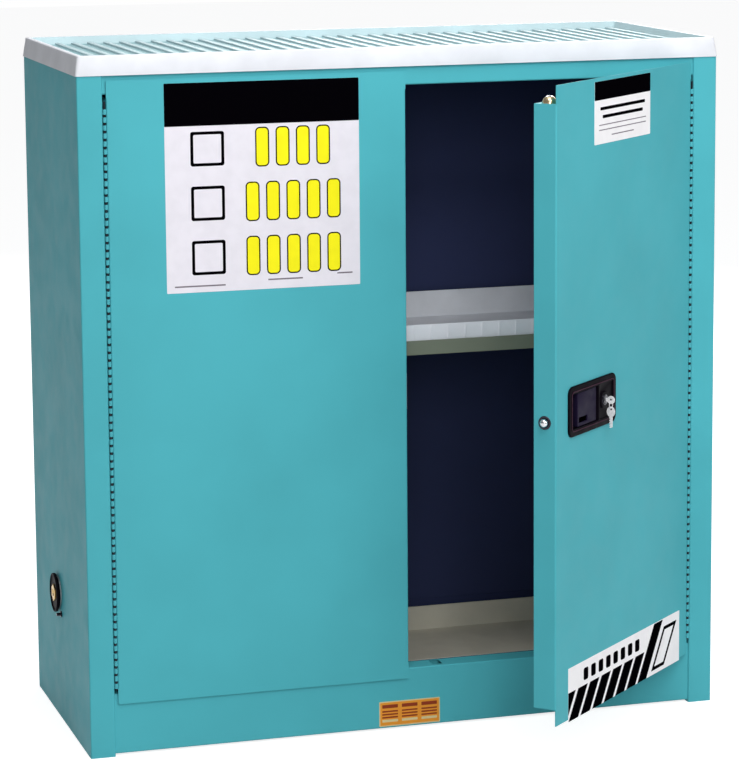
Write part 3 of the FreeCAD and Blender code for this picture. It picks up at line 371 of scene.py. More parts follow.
# Painted shade for the top tray's recess: the floor between the ribs darkest, the ribs and walls a
# lighter teal-grey, both darker than the white rim.
tray_floor_plastic = moulded("tray_floor_plastic", srgb(146, 186, 191), 0.5, 0.2)
tray_rib_plastic = moulded("tray_rib_plastic", srgb(184, 208, 213), 0.5, 0.2)
sign_white = printed("sign_white", srgb(232, 228, 236))
sign_black = printed("sign_black", srgb(4, 3, 6), 0.7, 0.0)
sign_bright = printed("sign_bright", srgb(252, 250, 252))
sign_yellow = printed("sign_yellow", srgb(250, 240, 20))
sign_grey = printed("sign_grey", srgb(120, 112, 120))
sign_orange = printed("sign_orange", srgb(232, 150, 48))
sign_brown = printed("sign_brown", srgb(140, 52, 18))
sign_sand = printed("sign_sand", srgb(222, 204, 150))


# Making pieces

def as_object(name, mesh, used, body):
    """A piece from mesh code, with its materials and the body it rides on."""
    bmesh.ops.recalc_face_normals(mesh, faces=mesh.faces)
    data = bpy.data.meshes.new(name)
    mesh.to_mesh(data)
    mesh.free()
    for material in used:
        data.materials.append(material)
    data.shade_smooth()
    data.set_sharp_from_angle(angle=SMOOTH_ANGLE)
    piece = bpy.data.objects.new(name, data)
    bpy.context.scene.collection.objects.link(piece)
    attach(piece, body)
    return piece


def joint_named(name):
    """A joint of the record."""
    return next(joint for joint in frame["joints"] if joint["name"] == name)


def swing(body):
    """How a door's pieces get from shut to where the door stands at rest."""
    joint = joint_named(body + "_hinge")
    pivot = Matrix.Translation(joint["pos_m"])
    turned_open = Matrix.Rotation(math.radians(-min(0, joint["range_deg"][0])), 4, "Z")
    return pivot @ turned_open @ pivot.inverted()


swings = {"left_door": swing("left_door"), "right_door": swing("right_door")}


def shut_box(node):
    """The corners of a right-hand door's node with the door shut."""
    back = swings["right_door"].inverted()
    points = [back @ vertex.co for vertex in frame["nodes"][node].data.vertices]
    low = Vector(min(point[axis] for point in points) for axis in range(3))
    high = Vector(max(point[axis] for point in points) for axis in range(3))
    return low, high


def centre_of(corners):
    """The middle between two corners."""
    return (corners[0] + corners[1]) / 2


def turned(mesh, profile, origin, axis, steps=ROUND_STEPS, closed=False):
    """A solid of revolution from (radius, height) points about an axis."""
    turn = UP.rotation_difference(axis).to_matrix()
    rings = []
    for radius, height in profile:
        if radius < POINT_RADIUS:
            rings.append([mesh.verts.new(origin + turn @ Vector((0, 0, height)))])
            continue
        ring = []
        for step in range(steps):
            angle = 2 * math.pi * step / steps
            spot = Vector((radius * math.cos(angle), radius * math.sin(angle), height))
            ring.append(mesh.verts.new(origin + turn @ spot))
        rings.append(ring)
    pairs = list(zip(rings, rings[1:]))
    if closed:
        pairs.append((rings[-1], rings[0]))
    for low, high in pairs:
        for step in range(steps):
            after = (step + 1) % steps
            corners = [low[step % len(low)], low[after % len(low)]]
            corners += [high[after % len(high)], high[step % len(high)]]
            corners = list(dict.fromkeys(corners))
            if len(corners) > 2:
                mesh.faces.new(corners)


def slab(mesh, outline, back, front, index=0):
    """A plate in the door's plane from an outline of (x, z) points, between two depths."""
    low = [mesh.verts.new((x, back, z)) for x, z in outline]
    high = [mesh.verts.new((x, front, z)) for x, z in outline]
    faces = [mesh.faces.new(low), mesh.faces.new(high)]
    for i in range(len(outline)):
        after = (i + 1) % len(outline)
        faces.append(mesh.faces.new((low[i], low[after], high[after], high[i])))
    for face in faces:
        face.material_index = index


def frame_slab(mesh, outer, inner, back, front, index=0):
    """A plate with a hole, from two outlines with as many points each."""
    loops = []
    for outline, depth in ((outer, back), (outer, front), (inner, front), (inner, back)):
        loops.append([mesh.verts.new((x, depth, z)) for x, z in outline])
    for loop, following in zip(loops, loops[1:] + loops[:1]):
        for i in range(len(outer)):
            after = (i + 1) % len(outer)
            corners = (loop[i], loop[after], following[after], following[i])
            mesh.faces.new(corners).material_index = index


def rounded(x0, x1, z0, z1, radius, steps=6):
    """The outline of a rectangle with round corners."""
    outline = []
    corners = ((x1 - radius, z1 - radius, 0), (x0 + radius, z1 - radius, 90),
               (x0 + radius, z0 + radius, 180), (x1 - radius, z0 + radius, 270))
    for x, z, start in corners:
        for step in range(steps + 1):
            angle = math.radians(start + 90 * step / steps)
            outline.append((x + radius * math.cos(angle), z + radius * math.sin(angle)))
    return outline


def sharp_edges(mesh):
    """The edges where two faces meet at a clear angle."""
    return [edge for edge in mesh.edges
            if len(edge.link_faces) == 2 and edge.calc_face_angle() > SHARP_ANGLE]


def bevel(mesh, edges, width, segments):
    """Rounds edges."""
    bmesh.ops.bevel(mesh, geom=edges, offset=width, segments=segments, profile=0.5, affect="EDGES",
                    clamp_overlap=True)


def cleaned(node):
    """A CAD node's mesh with its flat faces whole again and one material."""
    mesh = bmesh.new()
    mesh.from_mesh(frame["nodes"][node].data)
    bmesh.ops.remove_doubles(mesh, verts=mesh.verts, dist=WELD_DISTANCE)
    bmesh.ops.dissolve_limit(mesh, angle_limit=FLAT_ANGLE, verts=mesh.verts, edges=mesh.edges)
    for face in mesh.faces:
        face.material_index = 0
    return mesh


def softened(node, body, width, used):
    """A copy of a CAD node with rounded edges, which stands for it."""
    mesh = cleaned(node)
    bevel(mesh, sharp_edges(mesh), width, EDGE_SEGMENTS)
    piece = as_object(node + "_softened", mesh, used, body)
    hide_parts(node)


# Finishes on the nodes that stay as they are

for subpart in frame["record"]["subparts"]:
    node = frame["nodes"][subpart["node"]]
    node.data.materials.clear()
    node.data.materials.append(materials[subpart["material_slot"]])
    for face in node.data.polygons:
        face.material_index = 0


# The continuous hinges

# The pins are dark black chrome; through the wide gaps between the knuckles they give the dark dashes
# along each hinge, which is painted shade.
for side in ("left", "right"):
    frame["nodes"][side + "_hinge_pin"].data.materials[0] = black_chrome


def knuckle_row(mesh, joint, towards, first, turn):
    """One leaf: a strip with every other knuckle. towards is the X direction of the strip."""
    pin_low, pin_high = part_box("left_hinge_pin")
    leaf_low, leaf_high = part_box("left_hinge_frame_leaf")
    axis_x, axis_y = joint["pos_m"][0], joint["pos_m"][1]
    count = int((pin_high.z - pin_low.z) / KNUCKLE_PITCH)
    reach = (leaf_high.x - leaf_low.x) / 2
    outer = axis_x + towards * reach
    inner = outer - towards * LEAF_THICKNESS
    back = leaf_high.y
    clear = axis_y + reach + KNUCKLE_GAP
    for i in range(first, count, 2):
        low = pin_low.z + i * KNUCKLE_PITCH + KNUCKLE_GAP / 2
        high = low + KNUCKLE_PITCH - KNUCKLE_GAP
        profile = [(KNUCKLE_BORE, low), (KNUCKLE_RADIUS, low),
                   (KNUCKLE_RADIUS, high), (KNUCKLE_BORE, high)]
        turned(mesh, profile, Vector((axis_x, axis_y, 0)), UP, KNUCKLE_SIDES, True)
        start = axis_x + towards * (KNUCKLE_BORE + LEAF_THICKNESS / 3)
        arm = bmesh.ops.create_cube(mesh, size=1.0)["verts"]
        size = Vector((abs(outer - start), clear - axis_y, high - low))
        centre = Vector(((outer + start) / 2, (clear + axis_y) / 2, (high + low) / 2))
        for vertex in arm:
            vertex.co = centre + Vector(vertex.co[axis] * size[axis] for axis in range(3))
    slab_low, slab_high = min(inner, outer), max(inner, outer)
    strip = [(slab_low, pin_low.z), (slab_high, pin_low.z),
             (slab_high, pin_high.z), (slab_low, pin_high.z)]
    slab(mesh, strip, clear, back)
    mesh.transform(turn)


for side, towards in (("left", -1), ("right", 1)):
    joint = joint_named(side + "_door_hinge")
    leaves = (("frame", "cabinet", towards, 0), ("door", side + "_door", -towards, 1))
    for kind, body, way, first in leaves:
        leaf = bmesh.new()
        turn = swings[body] if kind == "door" else Matrix.Identity(4)
        knuckle_row(leaf, joint, way, first, turn)
        node = side + "_hinge_" + kind + "_leaf"
        piece = as_object(node + "_fine", leaf, [materials["teal_enamel"]], body)
        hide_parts(node)


# The latch bolts, as round covers over the flat-sided ones

def dome_profile(radius, length):
    """Half the outline of a round bar of a length that ends in a dome."""
    profile = [(0, 0), (radius, 0)]
    for step in range(DOME_STEPS + 1):
        angle = math.pi / 2 * step / DOME_STEPS
        profile.append((radius * math.cos(angle), length - radius + radius * math.sin(angle)))
    return profile[:-1] + [(0, length)]


def bolt_cover(name, body, tip, axis, radius, length, material):
    """A polished dome over the end of a latch bolt, built with the door shut."""
    mesh = bmesh.new()
    turned(mesh, dome_profile(radius + COVER_SKIN, length), tip - axis * length, axis)
    mesh.transform(swings["right_door"])
    return as_object(name, mesh, [material], body)


top_low, top_high = shut_box("top_latch_rod")
bottom_low = shut_box("bottom_latch_rod")[0]
side_low = shut_box("side_latch_bolt")[0]
barrel_low, barrel_high = shut_box("side_latch_barrel")
barrel_centre = centre_of((barrel_low, barrel_high))
top_tip = Vector((top_low.x + TOP_BOLT_RADIUS, top_low.y + TOP_BOLT_RADIUS, top_high.z))
bottom_tip = Vector((bottom_low.x + BOTTOM_BOLT_RADIUS, bottom_low.y + BOTTOM_BOLT_RADIUS,
                     bottom_low.z))
side_tip = Vector((side_low.x, barrel_centre.y, barrel_centre.z))
bolt_cover("top_bolt_dome", "top_latch_rod", top_tip, UP,
           TOP_BOLT_RADIUS, TOP_COVER_LENGTH, yellow_zinc)
bolt_cover("bottom_bolt_dome", "bottom_latch_rod", bottom_tip, -UP,
           BOTTOM_BOLT_RADIUS, BOTTOM_COVER_LENGTH, yellow_zinc)
bolt_cover("side_bolt_dome", "side_latch_bolt", side_tip, LEFT,
           SIDE_BOLT_RADIUS, SIDE_COVER_LENGTH, materials["bright_chrome"])


def latch_barrel():
    """The side latch's sleeve with a rolled collar on the door's free edge."""
    mesh = bmesh.new()
    bore = SIDE_BOLT_RADIUS + SLEEVE_PLAY
    length = barrel_high.x - barrel_low.x
    profile = [(bore, 0), (SLEEVE_RADIUS, 0), (SLEEVE_RADIUS, length - COLLAR_LENGTH),
               (COLLAR_RADIUS, length - COLLAR_LENGTH),
               (COLLAR_RADIUS, length - COLLAR_LENGTH / 2), (COLLAR_RADIUS - COLLAR_LENGTH / 2, length),
               (bore + COLLAR_LENGTH / 2, length), (bore, length - COLLAR_LENGTH / 2)]
    start = Vector((barrel_high.x, barrel_centre.y, barrel_centre.z))
    turned(mesh, profile, start, LEFT, closed=True)
    mesh.transform(swings["right_door"])
    piece = as_object("side_latch_barrel_round", mesh, [black_chrome], "right_door")
    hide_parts("side_latch_barrel")


latch_barrel()


# The handle

softened("handle_bezel", "right_door", BEZEL_ROUND, [materials["black_plastic"]])
softened("paddle", "paddle", PADDLE_ROUND, [paddle_plastic])


def bezel_lip():
    """A fine raised line round the inside of the bezel's rim."""
    low, high = shut_box("handle_bezel")
    front = low.y - LIP_RISE
    back = low.y + LIP_DEPTH
    outer = rounded(low.x + LIP_INSET, high.x - LIP_INSET, low.z + LIP_INSET, high.z - LIP_INSET,
                    LIP_CORNER)
    inner = rounded(low.x + LIP_INSET + LIP_WIDTH, high.x - LIP_INSET - LIP_WIDTH,
                    low.z + LIP_INSET + LIP_WIDTH, high.z - LIP_INSET - LIP_WIDTH,
                    LIP_CORNER - LIP_WIDTH)
    mesh = bmesh.new()
    frame_slab(mesh, outer, inner, back, front)
    mesh.transform(swings["right_door"])
    as_object("bezel_lip", mesh, [bezel_lip_plastic], "right_door")


bezel_lip()


# The lock and its keys

def lock_face():
    """The lock's round body and the turning plug's face."""
    low, high = shut_box("lock_cylinder")
    radius = (high.x - low.x) / 2
    length = high.y - low.y
    edge = LOCK_EDGE
    bore = PLUG_RADIUS + PLUG_PLAY
    centre = centre_of((low, high))
    mesh = bmesh.new()
    profile = [(bore, 0), (radius, 0), (radius, length - edge), (radius - edge / 3, length - edge / 3),
               (radius - edge, length), (bore + edge / 2, length), (bore, length - edge / 2)]
    turned(mesh, profile, Vector((centre.x, high.y, centre.z)), OUTWARD, closed=True)
    mesh.transform(swings["right_door"])
    piece = as_object("lock_body_round", mesh, [black_chrome], "right_door")
    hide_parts("lock_cylinder")
    plug_low = shut_box("lock_plug")[0]
    mesh = bmesh.new()
    radius = PLUG_RADIUS + PLUG_SKIN
    profile = [(0, 0), (radius, 0), (radius, PLUG_DEPTH - edge / 2),
               (radius - edge / 2, PLUG_DEPTH), (0, PLUG_DEPTH)]
    turned(mesh, profile, Vector((centre.x, plug_low.y - PLUG_SKIN + PLUG_DEPTH, centre.z)), OUTWARD)
    mesh.transform(swings["right_door"])
    as_object("lock_plug_face", mesh, [black_chrome], "lock_plug")


lock_face()


def key_outline(bow_half, bow_high, hole_to_top, blade_half, length):
    """A key's outline, hanging down from its hole, with cuts along one side of the blade."""
    outline = []
    shoulder = -math.asin(min(1.0, blade_half / bow_half)) - math.pi / 2
    start = shoulder + 2 * math.pi
    for step in range(KEY_BOW_STEPS + 1):
        sweep = shoulder + 2 * math.asin(blade_half / bow_half) - start
        angle = start + sweep * step / KEY_BOW_STEPS
        outline.append((bow_half * math.cos(angle),
                        hole_to_top - bow_high / 2 + bow_high / 2 * math.sin(angle)))
    foot = hole_to_top - bow_high
    cut_length = (length - bow_high) / (2 * KEY_CUTS + 1)
    for cut in range(KEY_CUTS):
        top = foot - cut_length * (2 * cut + 1)
        outline += [(blade_half, top), (blade_half - KEY_CUT_DEPTH, top - cut_length / 2),
                    (blade_half - KEY_CUT_DEPTH, top - cut_length),
                    (blade_half, top - 1.5 * cut_length)]
    tip = hole_to_top - length
    outline += [(blade_half, tip + blade_half / 2), (0, tip), (-blade_half, tip + blade_half / 2)]
    return outline


def key_solid(mesh, outline):
    """A key with its hole, extruded by its thickness about the plane of X zero."""
    side = -KEY_THICKNESS / 2
    loop = [mesh.verts.new((side, y, z)) for y, z in outline]
    ring = []
    for step in range(KEY_HOLE_SIDES):
        angle = 2 * math.pi * step / KEY_HOLE_SIDES
        ring.append(mesh.verts.new((side, KEY_HOLE_RADIUS * math.cos(angle),
                                    KEY_HOLE_RADIUS * math.sin(angle))))
    edges = [mesh.edges.new((a, b)) for a, b in zip(loop, loop[1:] + loop[:1])]
    edges += [mesh.edges.new((a, b)) for a, b in zip(ring, ring[1:] + ring[:1])]
    filled = bmesh.ops.triangle_fill(mesh, use_beauty=True, use_dissolve=False, edges=edges)
    faces = [item for item in filled["geom"] if isinstance(item, bmesh.types.BMFace)]
    grown = bmesh.ops.extrude_face_region(mesh, geom=faces)
    for item in grown["geom"]:
        if isinstance(item, bmesh.types.BMVert):
            item.co.x += KEY_THICKNESS


def lock_key():
    """The key in the lock, its bow standing out of the door."""
    low, high = shut_box("lock_key")
    bow_y = low.y + KEY_BOW_RADIUS
    centre = centre_of((low, high))
    bow = KEY_BOW_RADIUS - KEY_BOW_TRIM
    length = high.y - low.y - KEY_BOW_TRIM
    outline = key_outline(bow, 2 * bow, bow, KEY_SHANK_HALF, length)
    mesh = bmesh.new()
    key_solid(mesh, outline)
    outward = Matrix.Rotation(math.radians(90), 4, "X")
    mesh.transform(Matrix.Translation((centre.x, bow_y, centre.z)) @ outward)
    mesh.transform(swings["right_door"])
    piece = as_object("lock_key_cut", mesh, [materials["key_steel"]], "lock_plug")
    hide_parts("lock_key")


def spare_key():
    """The spare key on its ring, hanging straight down."""
    low, high = shut_box("spare_key")
    centre = centre_of((low, high))
    outline = key_outline((high.y - low.y) / 2, SPARE_BOW_HEIGHT, SPARE_HOLE_TO_TOP,
                          SPARE_BLADE_HALF, high.z - low.z)
    mesh = bmesh.new()
    key_solid(mesh, outline)
    mesh.transform(Matrix.Translation((centre.x, centre.y, high.z - SPARE_HOLE_TO_TOP)))
    mesh.transform(swings["right_door"])
    piece = as_object("spare_key_cut", mesh, [materials["key_steel"]], "spare_key")
    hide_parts("spare_key")


def key_ring():
    """The wire ring between the two keys."""
    low, high = shut_box("key_ring")
    centre = centre_of((low, high))
    radius = (high.x - low.x) / 2 - RING_WIRE_RADIUS
    profile = []
    for step in range(RING_WIRE_SIDES):
        angle = 2 * math.pi * step / RING_WIRE_SIDES
        profile.append((radius + RING_WIRE_RADIUS * math.cos(angle),
                        RING_WIRE_RADIUS * math.sin(angle)))
    mesh = bmesh.new()
    turned(mesh, profile, centre, OUTWARD, closed=True)
    mesh.transform(swings["right_door"])
    piece = as_object("key_ring_wire", mesh, [materials["key_steel"]], "spare_key")
    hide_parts("key_ring")


lock_key()
spare_key()
key_ring()


# The vents and the ground stud

def vent_bung(side, outward):
    """A black bung with a rolled rim and a brass hexagon to grip."""
    node = "vent_bung_" + side
    low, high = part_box(node)
    centre = centre_of((low, high))
    radius = (high.z - low.z) / 2
    length = high.x - low.x
    face = high.x if outward.x > 0 else low.x
    rim = length - BUNG_EDGE / 3
    body_end = length - BUNG_DISH - BUNG_FLANGE
    hollow_top = body_end - BUNG_FLOOR
    base = length - BUNG_DISH - BUNG_EDGE
    profile = [(0, hollow_top), (BUNG_BODY_RADIUS - BUNG_WALL, hollow_top),
               (BUNG_BODY_RADIUS - BUNG_WALL, 0), (BUNG_BODY_RADIUS - BUNG_EDGE, 0),
               (BUNG_BODY_RADIUS, BUNG_EDGE), (BUNG_BODY_RADIUS, body_end),
               (radius - BUNG_EDGE, body_end), (radius, body_end + BUNG_EDGE),
               (radius, length - 2 * BUNG_EDGE),
               (radius - BUNG_EDGE / 2, rim - BUNG_EDGE / 3), (radius - 2 * BUNG_EDGE, rim),
               (radius - BUNG_STEP + BUNG_EDGE, length - 2 * BUNG_EDGE),
               (radius - BUNG_STEP, base), (0, base)]
    start = Vector((face, centre.y, centre.z)) - outward * length
    mesh = bmesh.new()
    turned(mesh, profile, start, outward, BUNG_SIDES)
    disc = as_object(node + "_disc", mesh, [materials["black_plastic"]], node)
    mesh = bmesh.new()
    socket = length - HUB_SOCKET_DEPTH
    profile = [(0, base), (HUB_RADIUS, base), (HUB_RADIUS, length - HUB_EDGE),
               (HUB_RADIUS - HUB_EDGE, length), (HUB_SOCKET_RADIUS, length),
               (HUB_SOCKET_RADIUS - HUB_EDGE, socket), (0, socket)]
    turned(mesh, profile, start, outward, HEXAGON)
    as_object(node + "_hub", mesh, [materials["ground_brass"]], node)
    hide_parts(node)


vent_bung("left", LEFT)
vent_bung("right", RIGHT)


def ground_stud():
    """A threaded stud with a hexagon base."""
    low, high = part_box("ground_stud")
    centre = centre_of((low, high))
    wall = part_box("side_panel_left")[0].x
    mesh = bmesh.new()
    start = Vector((high.x, centre.y, centre.z))
    length = high.x - low.x
    in_wall = high.x - wall
    base_end = in_wall + STUD_BASE
    profile = [(0, 0), (STUD_RADIUS - THREAD_DEPTH, 0), (STUD_RADIUS - THREAD_DEPTH, base_end)]
    pitch = (length - in_wall - STUD_BASE) / (THREADS + 1)
    for thread in range(THREADS):
        middle = base_end + (thread + 0.5) * pitch
        profile += [(STUD_RADIUS, middle), (STUD_RADIUS - THREAD_DEPTH, middle + pitch / 2)]
    profile += [(STUD_RADIUS - 2 * THREAD_DEPTH, length), (0, length)]
    turned(mesh, profile, start, LEFT, STUD_SIDES)
    base = [(0, in_wall), (STUD_BASE_RADIUS, in_wall), (STUD_BASE_RADIUS, base_end - STUD_EDGE),
            (STUD_BASE_RADIUS - STUD_EDGE, base_end), (0, base_end)]
    turned(mesh, base, start, LEFT, HEXAGON)
    piece = as_object("ground_stud_threaded", mesh, [black_chrome], "cabinet")
    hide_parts("ground_stud")


ground_stud()


# The trays

def work_tray():
    """The tray on top, round along its outer rim, with painted shade in its ribbed recess."""
    low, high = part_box("work_tray")
    mesh = cleaned("work_tray")
    for face in mesh.faces:
        centre = face.calc_center_median()
        inside = (low.x + TRAY_RIM < centre.x < high.x - TRAY_RIM
                  and low.y + TRAY_RIM < centre.y < high.y - TRAY_RIM)
        # Faces in the recess get painted shade: the floor between the ribs one darker colour, the ribs
        # and walls another.
        if inside and high.z - TRAY_DEEP < centre.z < high.z - TRAY_SHALLOW:
            floor = centre.z < high.z - TRAY_RIB_TOP and face.normal.z > FACES_UP
            face.material_index = 1 if floor else 2
    rim = []
    for edge in sharp_edges(mesh):
        middle = (edge.verts[0].co + edge.verts[1].co) / 2
        edge_of_tray = (min(middle.x - low.x, high.x - middle.x) < TRAY_OUTER
                        or min(middle.y - low.y, high.y - middle.y) < TRAY_OUTER)
        if edge_of_tray and min(vertex.co.z for vertex in edge.verts) > high.z - TRAY_TOP_EDGE:
            rim.append(edge)
    bevel(mesh, rim, TRAY_ROUND, RIM_SEGMENTS)
    bevel(mesh, sharp_edges(mesh), TRAY_EDGE_ROUND, EDGE_SEGMENTS)
    used = [materials["white_plastic"], tray_floor_plastic, tray_rib_plastic]
    piece = as_object("work_tray_moulded", mesh, used, "work_tray")
    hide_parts("work_tray")


work_tray()
softened("shelf_tray", "cabinet", SHELF_TRAY_ROUND, [materials["white_plastic"]])
softened("floor_tray", "cabinet", FLOOR_TRAY_ROUND, [materials["cream_plastic"]])


# The signs

def sign_plate(mesh, corners, back, corner):
    """A sign's own plate, and the depth of its face."""
    x0, x1, z0, z1 = corners
    front = back - SIGN_THICKNESS
    slab(mesh, rounded(x0, x1, z0, z1, corner, CORNER_STEPS), back, front)
    return front


def big_sign():
    """Black band over three rows: an outlined square, then yellow bars with black edges."""
    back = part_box("left_door_skin")[0].y
    x0, x1, z0, z1 = BIG_SIGN
    width, height = x1 - x0, z1 - z0
    mesh = bmesh.new()
    face = sign_plate(mesh, BIG_SIGN, back, BIG_SIGN_CORNER)
    band = z1 - BIG_SIGN_BAND_SHARE * height
    slab(mesh, rounded(x0, x1, band, z1, BIG_SIGN_CORNER, CORNER_STEPS), face, face - INK, 1)
    # Each row's height as a share, and how many bars it has
    rows = ((0.685, 4), (0.425, 5), (0.165, 5))
    bar_high = 0.19 * height
    bar_wide = 0.072 * width
    edge = 2.2 * MM
    pitch = 0.105 * width
    bars_middle = x0 + 0.655 * width
    square = 0.165 * height
    square_left = x0 + 0.13 * width
    square_right = square_left + square
    line = 5 * MM
    for share, count in rows:
        middle = z0 + share * height
        low, high = middle - square / 2, middle + square / 2
        frame_slab(mesh, rounded(square_left, square_right, low, high, 4 * MM),
                   rounded(square_left + line, square_right - line, low + line, high - line, 2 * MM),
                   face, face - INK, 1)
        start = bars_middle - count * pitch / 2
        for bar in range(count):
            left = start + bar * pitch + (pitch - bar_wide) / 2
            low, high = middle - bar_high / 2, middle + bar_high / 2
            slab(mesh, rounded(left, left + bar_wide, low, high, bar_wide / 3), face, face - INK, 1)
            inner = rounded(left + edge, left + bar_wide - edge, low + edge, high - edge,
                            bar_wide / 3 - edge)
            slab(mesh, inner, face - INK, face - 2 * INK, 2)
    # Each rule's ends and height as shares
    rules = ((0.04, 0.30, 0.03), (0.52, 0.70, 0.045), (0.88, 0.96, 0.06))
    half = 1.2 * MM
    for left, right, level in rules:
        rule = z0 + level * height
        outline = rounded(x0 + left * width, x0 + right * width, rule - half, rule + half,
                          0.4 * MM, BAR_STEPS)
        slab(mesh, outline, face, face - INK, 3)
    inks = [sign_white, sign_black, sign_yellow, sign_grey]
    as_object("sign_with_bars", mesh, inks, "left_door")


def door_face():
    """The depth of the right-hand door's outer face with the door shut, and its free edge."""
    low = shut_box("right_door_skin")[0]
    return low.y, low.x


def small_sign():
    """White sign with a black band and thin rules, at the top of the right-hand door."""
    back, free = door_face()
    x0, x1, z0, z1 = SMALL_SIGN
    x0, x1 = x0 + free, x1 + free
    width, height = x1 - x0, z1 - z0
    mesh = bmesh.new()
    face = sign_plate(mesh, (x0, x1, z0, z1), back, BIG_SIGN_CORNER)
    band = z1 - SMALL_SIGN_BAND_SHARE * height
    slab(mesh, rounded(x0, x1, band, z1, BIG_SIGN_CORNER, CORNER_STEPS), face, face - INK, 1)
    # Each rule's height and inset as shares, half its thickness in millimetres, and its ink
    rules = ((0.56, 0.10, 2.6, 1), (0.43, 0.14, 2.6, 1), (0.30, 0.08, 0.8, 2), (0.22, 0.08, 0.8, 2),
             (0.12, 0.3, 0.9, 2))
    for level, inset, thick, index in rules:
        rule = z0 + level * height
        half = thick * MM
        outline = rounded(x0 + inset * width, x1 - inset * width, rule - half, rule + half,
                          half / 2, BAR_STEPS)
        slab(mesh, outline, face, face - INK, index)
    mesh.transform(swings["right_door"])
    inks = [sign_bright, sign_black, sign_grey]
    as_object("sign_with_rules", mesh, inks, "right_door")


def strip_sign():
    """White strip with leaning black stripes along its lower half, low on the right-hand door."""
    back, free = door_face()
    x0, x1, z0, z1 = STRIP_SIGN
    x0, x1 = x0 + free, x1 + free
    width, height = x1 - x0, z1 - z0
    mesh = bmesh.new()
    face = sign_plate(mesh, (x0, x1, z0, z1), back, STRIP_SIGN_CORNER)
    lean = 0.40 * height
    stripe_top = z0 + 0.54 * height
    pitch = 0.101 * width
    gap = 0.2 * pitch
    margin = 1 * MM
    for stripe in range(STRIPES):
        top = z1 - margin if stripe == STRIPES - 1 else stripe_top
        rise = lean * (top - z0) / (stripe_top - z0)
        left = x0 + margin + stripe * pitch
        right = left + pitch - gap
        outline = [(left, z0), (right, z0), (right + rise, top), (left + rise, top)]
        slab(mesh, outline, face, face - INK, 1)
    slab(mesh, [(x0, z0 + 0.12 * height), (x0 + lean - gap, stripe_top), (x0, stripe_top)],
         face, face - INK, 1)
    low, high = z0 + 0.63 * height, z0 + 0.86 * height
    first_bar, bar_pitch = 0.13, 0.065
    for bar in range(BARS):
        left = x0 + (first_bar + bar_pitch * bar) * width
        outline = rounded(left, left + 0.04 * width, low, high, 0.008 * width, BAR_STEPS)
        slab(mesh, outline, face, face - INK, 1)
    line = 6 * MM
    side_line = 1.3
    low, high = z0 + 0.08 * height, z0 + 0.84 * height
    slope = lean / (stripe_top - z0)
    outlines = []
    for inset in (0, line):
        left, right = x0 + 0.735 * width + side_line * inset, x0 + 0.855 * width - side_line * inset
        rise = slope * (high - low - 2 * inset)
        shift = slope * inset
        outlines.append([(left + shift, low + inset), (right + shift, low + inset),
                         (right + shift + rise, high - inset), (left + shift + rise, high - inset)])
    frame_slab(mesh, outlines[0], outlines[1], face, face - INK, 1)
    mesh.transform(swings["right_door"])
    as_object("sign_with_stripes", mesh, [sign_bright, sign_black], "right_door")


def kick_sign():
    """Orange label on the kick plate with a pale border and brown blocks."""
    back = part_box("sill_rail")[0].y
    x0, x1, z0, z1 = KICK_SIGN
    width, height = x1 - x0, z1 - z0
    mesh = bmesh.new()
    face = sign_plate(mesh, KICK_SIGN, back, BIG_SIGN_CORNER)
    edge = 1.8 * MM
    inner = rounded(x0 + edge, x1 - edge, z0 + edge, z1 - edge, 1 * MM, CORNER_STEPS)
    slab(mesh, inner, face, face - INK, 1)
    columns = 3
    # Each block's height and half thickness as shares, and its ink
    lines = ((0.8, 0.07, 2), (0.6, 0.03, 2), (0.48, 0.03, 2), (0.36, 0.03, 2), (0.22, 0.05, 0))
    for column in range(columns):
        left = x0 + edge + (column + 0.1) * (width - 2 * edge) / columns
        right = left + 0.8 * (width - 2 * edge) / columns
        for level, thick, index in lines:
            rule = z0 + level * height
            half = thick * height
            slab(mesh, rounded(left, right, rule - half, rule + half, half / 3, BAR_STEPS),
                 face - INK, face - 2 * INK, index)
    inks = [sign_sand, sign_orange, sign_brown]
    as_object("label_on_kick_plate", mesh, inks, "cabinet")


big_sign()
small_sign()
strip_sign()
kick_sign()


# The stage, the lights and the camera

def seen_by(tree, first, *others):
    """Whether a ray is of one of some kinds."""
    path = tree.nodes.new("ShaderNodeLightPath")
    seen = path.outputs[first]
    for kind in others:
        either = tree.nodes.new("ShaderNodeMath")
        either.operation = "MAXIMUM"
        tree.links.new(seen, either.inputs[0])
        tree.links.new(path.outputs[kind], either.inputs[1])
        seen = either.outputs["Value"]
    return seen


def stage():
    """A plain pale floor that keeps the cabinet's shadow and goes off into white."""
    mesh = bmesh.new()
    half = FLOOR_SIZE / 2
    corners = ((-half, -half), (half, -half), (half, half), (-half, half))
    mesh.faces.new([mesh.verts.new((x, y, 0)) for x, y in corners])
    data = bpy.data.meshes.new("floor")
    mesh.to_mesh(data)
    mesh.free()
    floor = bpy.data.objects.new("floor", data)
    bpy.context.scene.collection.objects.link(floor)
    material, tree, shader = new_material("floor", FLOOR_ROUGHNESS, gloss=FLOOR_GLOSS)
    shader.inputs["Base Color"].default_value = FLOOR_COLOUR
    lift = tree.nodes.new("ShaderNodeMath")
    lift.operation = "MULTIPLY"
    lift.inputs[1].default_value = FLOOR_LIFT
    seen = seen_by(tree, "Is Camera Ray", "Is Transmission Ray", "Is Glossy Ray")
    tree.links.new(seen, lift.inputs[0])
    tree.links.new(lift.outputs["Value"], shader.inputs["Emission Strength"])
    shader.inputs["Emission Color"].default_value = WHITE
    data.materials.append(material)


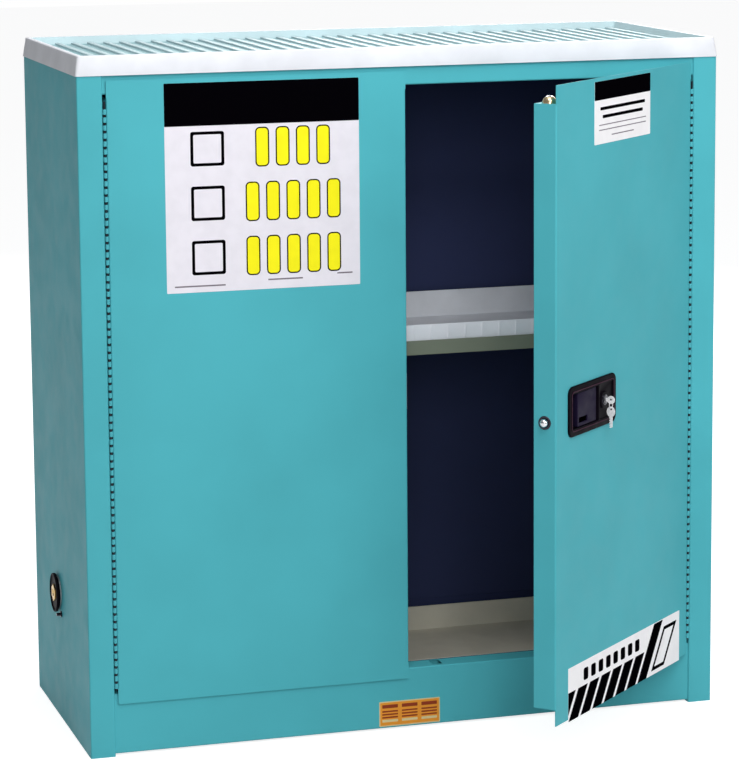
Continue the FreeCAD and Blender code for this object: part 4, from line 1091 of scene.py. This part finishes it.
def world():
    """Soft light from all round, white where it is seen."""
    background = bpy.data.worlds.new("studio")
    background.use_nodes = True
    bpy.context.scene.world = background
    tree = background.node_tree
    light = tree.nodes["Background"]
    light.inputs["Color"].default_value = SKY_COLOUR
    light.inputs["Strength"].default_value = SKY_STRENGTH
    white = tree.nodes.new("ShaderNodeBackground")
    white.inputs["Color"].default_value = WHITE
    white.inputs["Strength"].default_value = 1.0
    mix = tree.nodes.new("ShaderNodeMixShader")
    tree.links.new(seen_by(tree, "Is Camera Ray", "Is Transmission Ray"), mix.inputs["Fac"])
    tree.links.new(light.outputs["Background"], mix.inputs[1])
    tree.links.new(white.outputs["Background"], mix.inputs[2])
    tree.links.new(mix.outputs["Shader"], tree.nodes["World Output"].inputs["Surface"])


def soft_box(name, place, target, size, power):
    """A square area light that faces a point."""
    light = bpy.data.lights.new(name, "AREA")
    light.size = size
    light.energy = power
    lamp = bpy.data.objects.new(name, light)
    lamp.location = place
    lamp.rotation_euler = (Vector(target) - Vector(place)).to_track_quat("-Z", "Y").to_euler()
    bpy.context.scene.collection.objects.link(lamp)


def camera():
    """The photograph's viewpoint."""
    yaw, pitch, roll = (math.radians(angle) for angle in (CAMERA_YAW, CAMERA_PITCH, CAMERA_ROLL))
    ahead = Vector((math.sin(yaw) * math.cos(pitch), math.cos(yaw) * math.cos(pitch), math.sin(pitch)))
    level = Vector((math.cos(yaw), -math.sin(yaw), 0))
    above = level.cross(ahead)
    right = level * math.cos(roll) + above * math.sin(roll)
    top = above * math.cos(roll) - level * math.sin(roll)
    data = bpy.data.cameras.new("camera")
    data.lens = CAMERA_LENS
    data.sensor_width = CAMERA_SENSOR
    data.shift_y = CAMERA_SHIFT_Y
    eye = bpy.data.objects.new("camera", data)
    turn = Matrix((right, top, -ahead)).transposed().to_4x4()
    eye.matrix_world = Matrix.Translation(CAMERA_PLACE) @ turn
    bpy.context.scene.collection.objects.link(eye)
    bpy.context.scene.camera = eye


stage()
world()
for lamp in LAMPS:
    soft_box(*lamp)
camera()
bpy.context.scene.view_settings.view_transform = "Standard"
